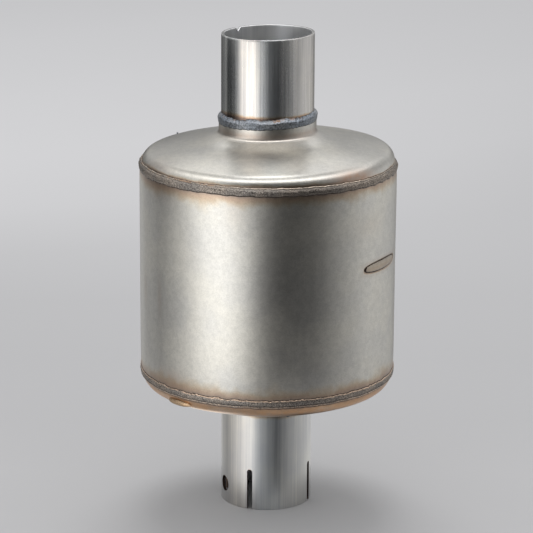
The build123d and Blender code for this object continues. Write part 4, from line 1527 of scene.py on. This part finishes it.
    def build_inlet_tube(self, bead: bpy.types.Material) -> None:
        """Builds the inlet tube, cuts its slots and hole, shades it smooth and adds its bead."""
        steel = TubeFinish(
            roughness=0.34, light=(0.66, 0.66, 0.645), dark=(0.50, 0.51, 0.52), seam_angle=-90.0,
            # The stripes paint the reflections round the inlet tube.
            reflection_stripes=rows_of(
                3, -90, 0.95, 0.01, -62, 1, 0.03, -57, 0.88, 0.03, -52, 1, 0.04, -34, 0.96, 0.04,
                -30, 1.02, 0.04, -16, 1.02, 0.02, -12, 0.92, 0, -8, 1, -0.01, 4, 0.98, -0.02, 12,
                1.08, -0.015, 25, 1.1, 0.01, 60, 1.04, 0.015, 90, 0.95, 0.01),
        ).material("tube_steel_inlet", self.effects)
        tube = Tube("inlet_tube", columns=360, toe_at=60.0, toe_way=-1)
        piece = place(tube.mesh(), steel, Slot.TUBE_STEEL, "inlet_tube")
        cutter = linked("slot_cutters", ClampSlots().mesh())
        cut = piece.modifiers.new("slots", "BOOLEAN")
        cut.operation, cut.solver, cut.object = "DIFFERENCE", "EXACT", cutter
        graph = bpy.context.evaluated_depsgraph_get()
        mesh = bpy.data.meshes.new_from_object(piece.evaluated_get(graph))
        mesh.name = piece.name
        piece.modifiers.clear()
        piece.data = mesh
        bpy.data.objects.remove(cutter)
        soften(mesh, 30.0)
        inlet_bead = InletBead()
        place(inlet_bead.mesh(), bead, Slot.NECK_WELD_METAL, "inlet_tube_weld")
        place(inlet_bead.drop_mesh(), bead, Slot.NECK_WELD_METAL)

    def dress_inside(self) -> None:
        """Gives the CAD nodes inside the body their materials."""
        steel = InnerFinish().material("inner_steel", self.effects)
        scale = BeadFinish(size=0.8).material("inner_bead", self.effects)
        for name, node in sorted(frame["nodes"].items()):
            if node.hide_render or "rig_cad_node" not in node:
                continue
            node.data.materials.clear()
            node.data.materials.append(scale if "weld" in name else steel)


# Studio -----------------------------------------------------------------------------------------


def hang_card(mesh: bpy.types.Mesh, glow: bpy.types.Material) -> None:
    """Adds a card that only reflections see, and gives it its glow."""
    mesh.materials.append(glow)
    card = linked(mesh.name, mesh)
    card.visible_camera = card.visible_diffuse = card.visible_shadow = False
    card.visible_transmission = card.visible_volume_scatter = False


@dataclass(frozen=True)
class CardRing:
    """Ring of light and dark cards round the part, which only its reflections see.

    The stops are (angle round the part in degrees, brightness) pairs, and the brightness
    changes evenly from one to the next. The foot is the share of it left at the low edge.
    """

    name: str
    radius: float
    low: float
    high: float
    stops: tuple[tuple[float, ...], ...]
    foot: float = 1.0

    def material(self) -> bpy.types.Material:
        """Glow whose strength is a ramp over the angle round the part."""
        material, graph = new_material(self.name)
        _, _, height, turn = graph.axes()
        top = max(value for _, value in self.stops)
        stops = self.stops + ((180.0, self.stops[0][1]),)
        ramp = graph.ramp(graph.line(turn, 1 / TAU, 0.5),
                          [(angle / 360 + 0.5, (value / top,) * 3) for angle, value in stops])
        rate = (1 - self.foot) / (self.high - self.low) / MM
        fade = graph.line(height, rate, self.foot - rate * self.low * MM)
        graph.close(graph.add("ShaderNodeEmission", {
            "Color": ramp, "Strength": graph.times(fade, top)}))
        return material

    def build(self) -> None:
        """Adds the ring: an open band of 180 faces."""
        turn, tall = np.meshgrid(even_angles(180), np.array([self.low, self.high]), indexing="ij")
        index = np.arange(turn.size).reshape(turn.shape)
        beside = np.roll(index, -1, 0)
        quads = np.stack([index[:, 0], beside[:, 0], beside[:, 1], index[:, 1]], -1)
        points = about_z(self.radius, turn, tall).reshape(-1, 3)
        hang_card(mesh_from(self.name, points, quads), self.material())


def plate(name: str, low: tuple[float, float], high: tuple[float, float],
          height: float) -> bpy.types.Mesh:
    """Flat plate between two (x, y) corners, facing up."""
    points = np.array([[*low, height], [high[0], low[1], height], [*high, height],
                       [low[0], high[1], height]])
    return mesh_from(name, points, [[0, 1, 2, 3]])


@dataclass
class Studio:
    """Floor with a painted gradient of light under an even white tent, rings of cards for the
    metal, and the camera.
    """

    tent: float = 0.72
    top_glow: float = 3.2
    lamp_power: float = 7.0
    lamp_size: float = 0.7
    lamp_behind: float = 0.6
    lamp_height: float = 1.4
    camera_at: tuple[float, float, float] = (-0.00026, -1.46498, 0.54794)
    camera_down: float = 15.410
    camera_roll: float = 0.272
    camera_lens: float = 172.33
    floor_half: float = 9000.0
    floor_light_tones: tuple[tuple[float, ...], ...] = rows_of(
        2, -0.1, 0.556, 0.04, 0.55, 0.14, 0.522, 0.28, 0.506, 0.43, 0.509, 0.61, 0.543, 0.82,
        0.611, 1.09, 0.662, 1.41, 0.695, 1.75, 0.718)
    rings: tuple[CardRing, ...] = (
        CardRing("cards_foot", 64.0, 0.0, 72.0, rows_of(
            2, -180, 0.8, -140, 0.75, -100, 0.36, -75, 0.65, -50, 1.25, -30, 1.4, -12, 0.42, 20,
            0.05, 50, 0.36, 80, 0.55, 110, 0.76, 140, 0.75)),
        CardRing("cards_low", 300.0, 0.0, 158.0, rows_of(
            2, -180, 0.5, -156, 0.3, -140, 0.7, -127, 0.4, -114, 0.5, -100, 0.28, -75, 0.6, -60,
            1.1, -50, 1.8, -32, 2.1, -18, 1.15, -6, 0.24, 8, 0.04, 40, 0.11, 66, 0.48, 90, 0.82,
            126, 0.66, 150, 0.3), 0.9),
        CardRing("cards_1", 300.0, 158.0, 250.0, rows_of(
            2, -180, 0.4, -156, 0.05, -140, 0.2, -127, 0.3, -111, 0.02, -100, 0.02, -80, 0.1, -66,
            1.2, -50, 2, -36, 2.1, -22, 1.1, -8, 0.35, 8, 0.06, 28, 0.03, 45, 0.12, 66, 0.36, 90,
            0.7, 120, 0.75, 150, 0.2)),
        CardRing("cards_2", 300.0, 250.0, 400.0, rows_of(
            2, -180, 0.22, -150, 0.6, -125, 0.4, -100, 0.7, -70, 0.9, -50, 0.9, -25, 0.2, 0, 0.04,
            40, 0.2, 75, 0.7, 110, 0.5, 150, 0.7)),
        CardRing("cards_3", 300.0, 400.0, 480.0, rows_of(
            2, -180, 0.3, -160, 1.4, -140, 0.8, -120, 1.1, -90, 1.6, -60, 1.4, -20, 0.3, 20, 0.3,
            60, 1.4, 90, 1.8, 120, 1.3, 150, 1.2, 165, 1.4)),
        CardRing("cards_4", 300.0, 480.0, 700.0, rows_of(
            2, -180, 1.3, -160, 1.75, -140, 0.6, -120, 0.7, -90, 1.5, -60, 2.6, -30, 3, 40, 3, 65,
            2.5, 95, 1.6, 130, 1, 150, 0.95, 165, 1.5)),
        CardRing("cards_5", 300.0, 700.0, 900.0, rows_of(
            2, -180, 2, -165, 1.5, -150, 0.6, -120, 0.5, -90, 0.9, -60, 1.3, -25, 2.2, 25, 2.2, 50,
            1.5, 75, 1, 110, 0.4, 150, 0.6, 165, 1.5)),
    )

    def build(self) -> None:
        """Builds the studio."""
        self.build_tent()
        self.build_lamp()
        self.build_floor()
        self.build_top_card()
        for ring in self.rings:
            ring.build()
        self.build_camera()

    def build_tent(self) -> None:
        """Even white light from all round."""
        world = bpy.data.worlds.new("tent")
        world.use_nodes = True
        world.node_tree.nodes.clear()
        graph = Graph(world.node_tree)
        white = {"Color": (1.0, 1.0, 1.0, 1.0), "Strength": self.tent}
        graph.close(graph.add("ShaderNodeBackground", white), "World")
        bpy.context.scene.world = world

    def build_lamp(self) -> None:
        """Large soft lamp above the part and a little behind it."""
        data = bpy.data.lights.new("soft_top", "AREA")
        data.shape, data.size, data.energy = "DISK", self.lamp_size, self.lamp_power
        lamp = linked("soft_top", data)
        lamp.location = (0.0, self.lamp_behind, self.lamp_height)
        lamp.rotation_euler = (-math.atan(self.lamp_behind / self.lamp_height), 0.0, 0.0)
        lamp.visible_glossy = False

    def build_top_card(self) -> None:
        """Card high behind the part, which draws the bright band on the outlet cap's shoulder."""
        material, graph = new_material("card_top")
        graph.close(graph.add("ShaderNodeEmission", {"Strength": self.top_glow}))
        hang_card(plate("card_top", (-180.0, 60.0), (150.0, 480.0), 1100.0), material)

    def build_floor(self) -> None:
        """Pale floor with painted light, lighter far behind the part and at its left, clear when
        seen from below.

        Its tone, a painted gradient of light, is a ramp over the depth, plus a share of -x that
        grows with the depth.
        """
        material, graph = new_material("floor_painted_light")
        x, y, _, _ = graph.axes()
        # Painted light: the floor is lighter far behind and at the left.
        askew = graph.times(x, graph.step(y, 0.3, 1.0, 0.0, -0.8))
        depth = graph.line(graph.maths("ADD", y, askew), 0.5, 0.05)
        colour = graph.ramp(depth, [
            (place / 2 + 0.05, (tone, tone, tone * 1.022)) for place, tone in self.floor_light_tones
        ])
        paint = graph.add("ShaderNodeBsdfDiffuse", {"Color": colour})
        clear = graph.add("ShaderNodeBsdfTransparent")
        below = graph.add("ShaderNodeNewGeometry").outputs["Backfacing"]
        graph.close(graph.add("ShaderNodeMixShader", {
            0: below, 1: paint.outputs[0], 2: clear.outputs[0]}))
        half = self.floor_half
        mesh = plate("floor", (-half, -half), (half, half), -0.05)
        mesh.materials.append(material)
        floor = linked("floor", mesh)

    def build_camera(self) -> None:
        """Camera at the photograph's angle: it looks down from 1.56 m with a long lens."""
        pitch, roll = math.radians(self.camera_down), math.radians(self.camera_roll)
        right = Vector((1.0, 0.0, 0.0))
        up = Vector((0.0, math.sin(pitch), math.cos(pitch)))
        back = -Vector((0.0, math.cos(pitch), -math.sin(pitch)))
        tilted_right = right * math.cos(roll) + up * math.sin(roll)
        tilted_up = up * math.cos(roll) - right * math.sin(roll)
        data = bpy.data.cameras.new("camera")
        data.sensor_width, data.lens = 36.0, self.camera_lens
        camera = linked("camera", data)
        turned = Matrix((tilted_right, tilted_up, back)).transposed().to_4x4()
        camera.matrix_world = Matrix.Translation(self.camera_at) @ turned
        bpy.context.scene.camera = camera


def main() -> None:
    """Builds the part and the studio."""
    logging.basicConfig(level=logging.INFO, format="%(name)s: %(message)s")
    bpy.context.scene.view_settings.view_transform = "Standard"
    effects = Effects(metal_grain(), long_streaks(), heat_tint(), weld_scale())
    Arrestor(effects).build()
    Studio().build()
    bpy.context.view_layer.update()


if __name__ == "__main__":
    main()
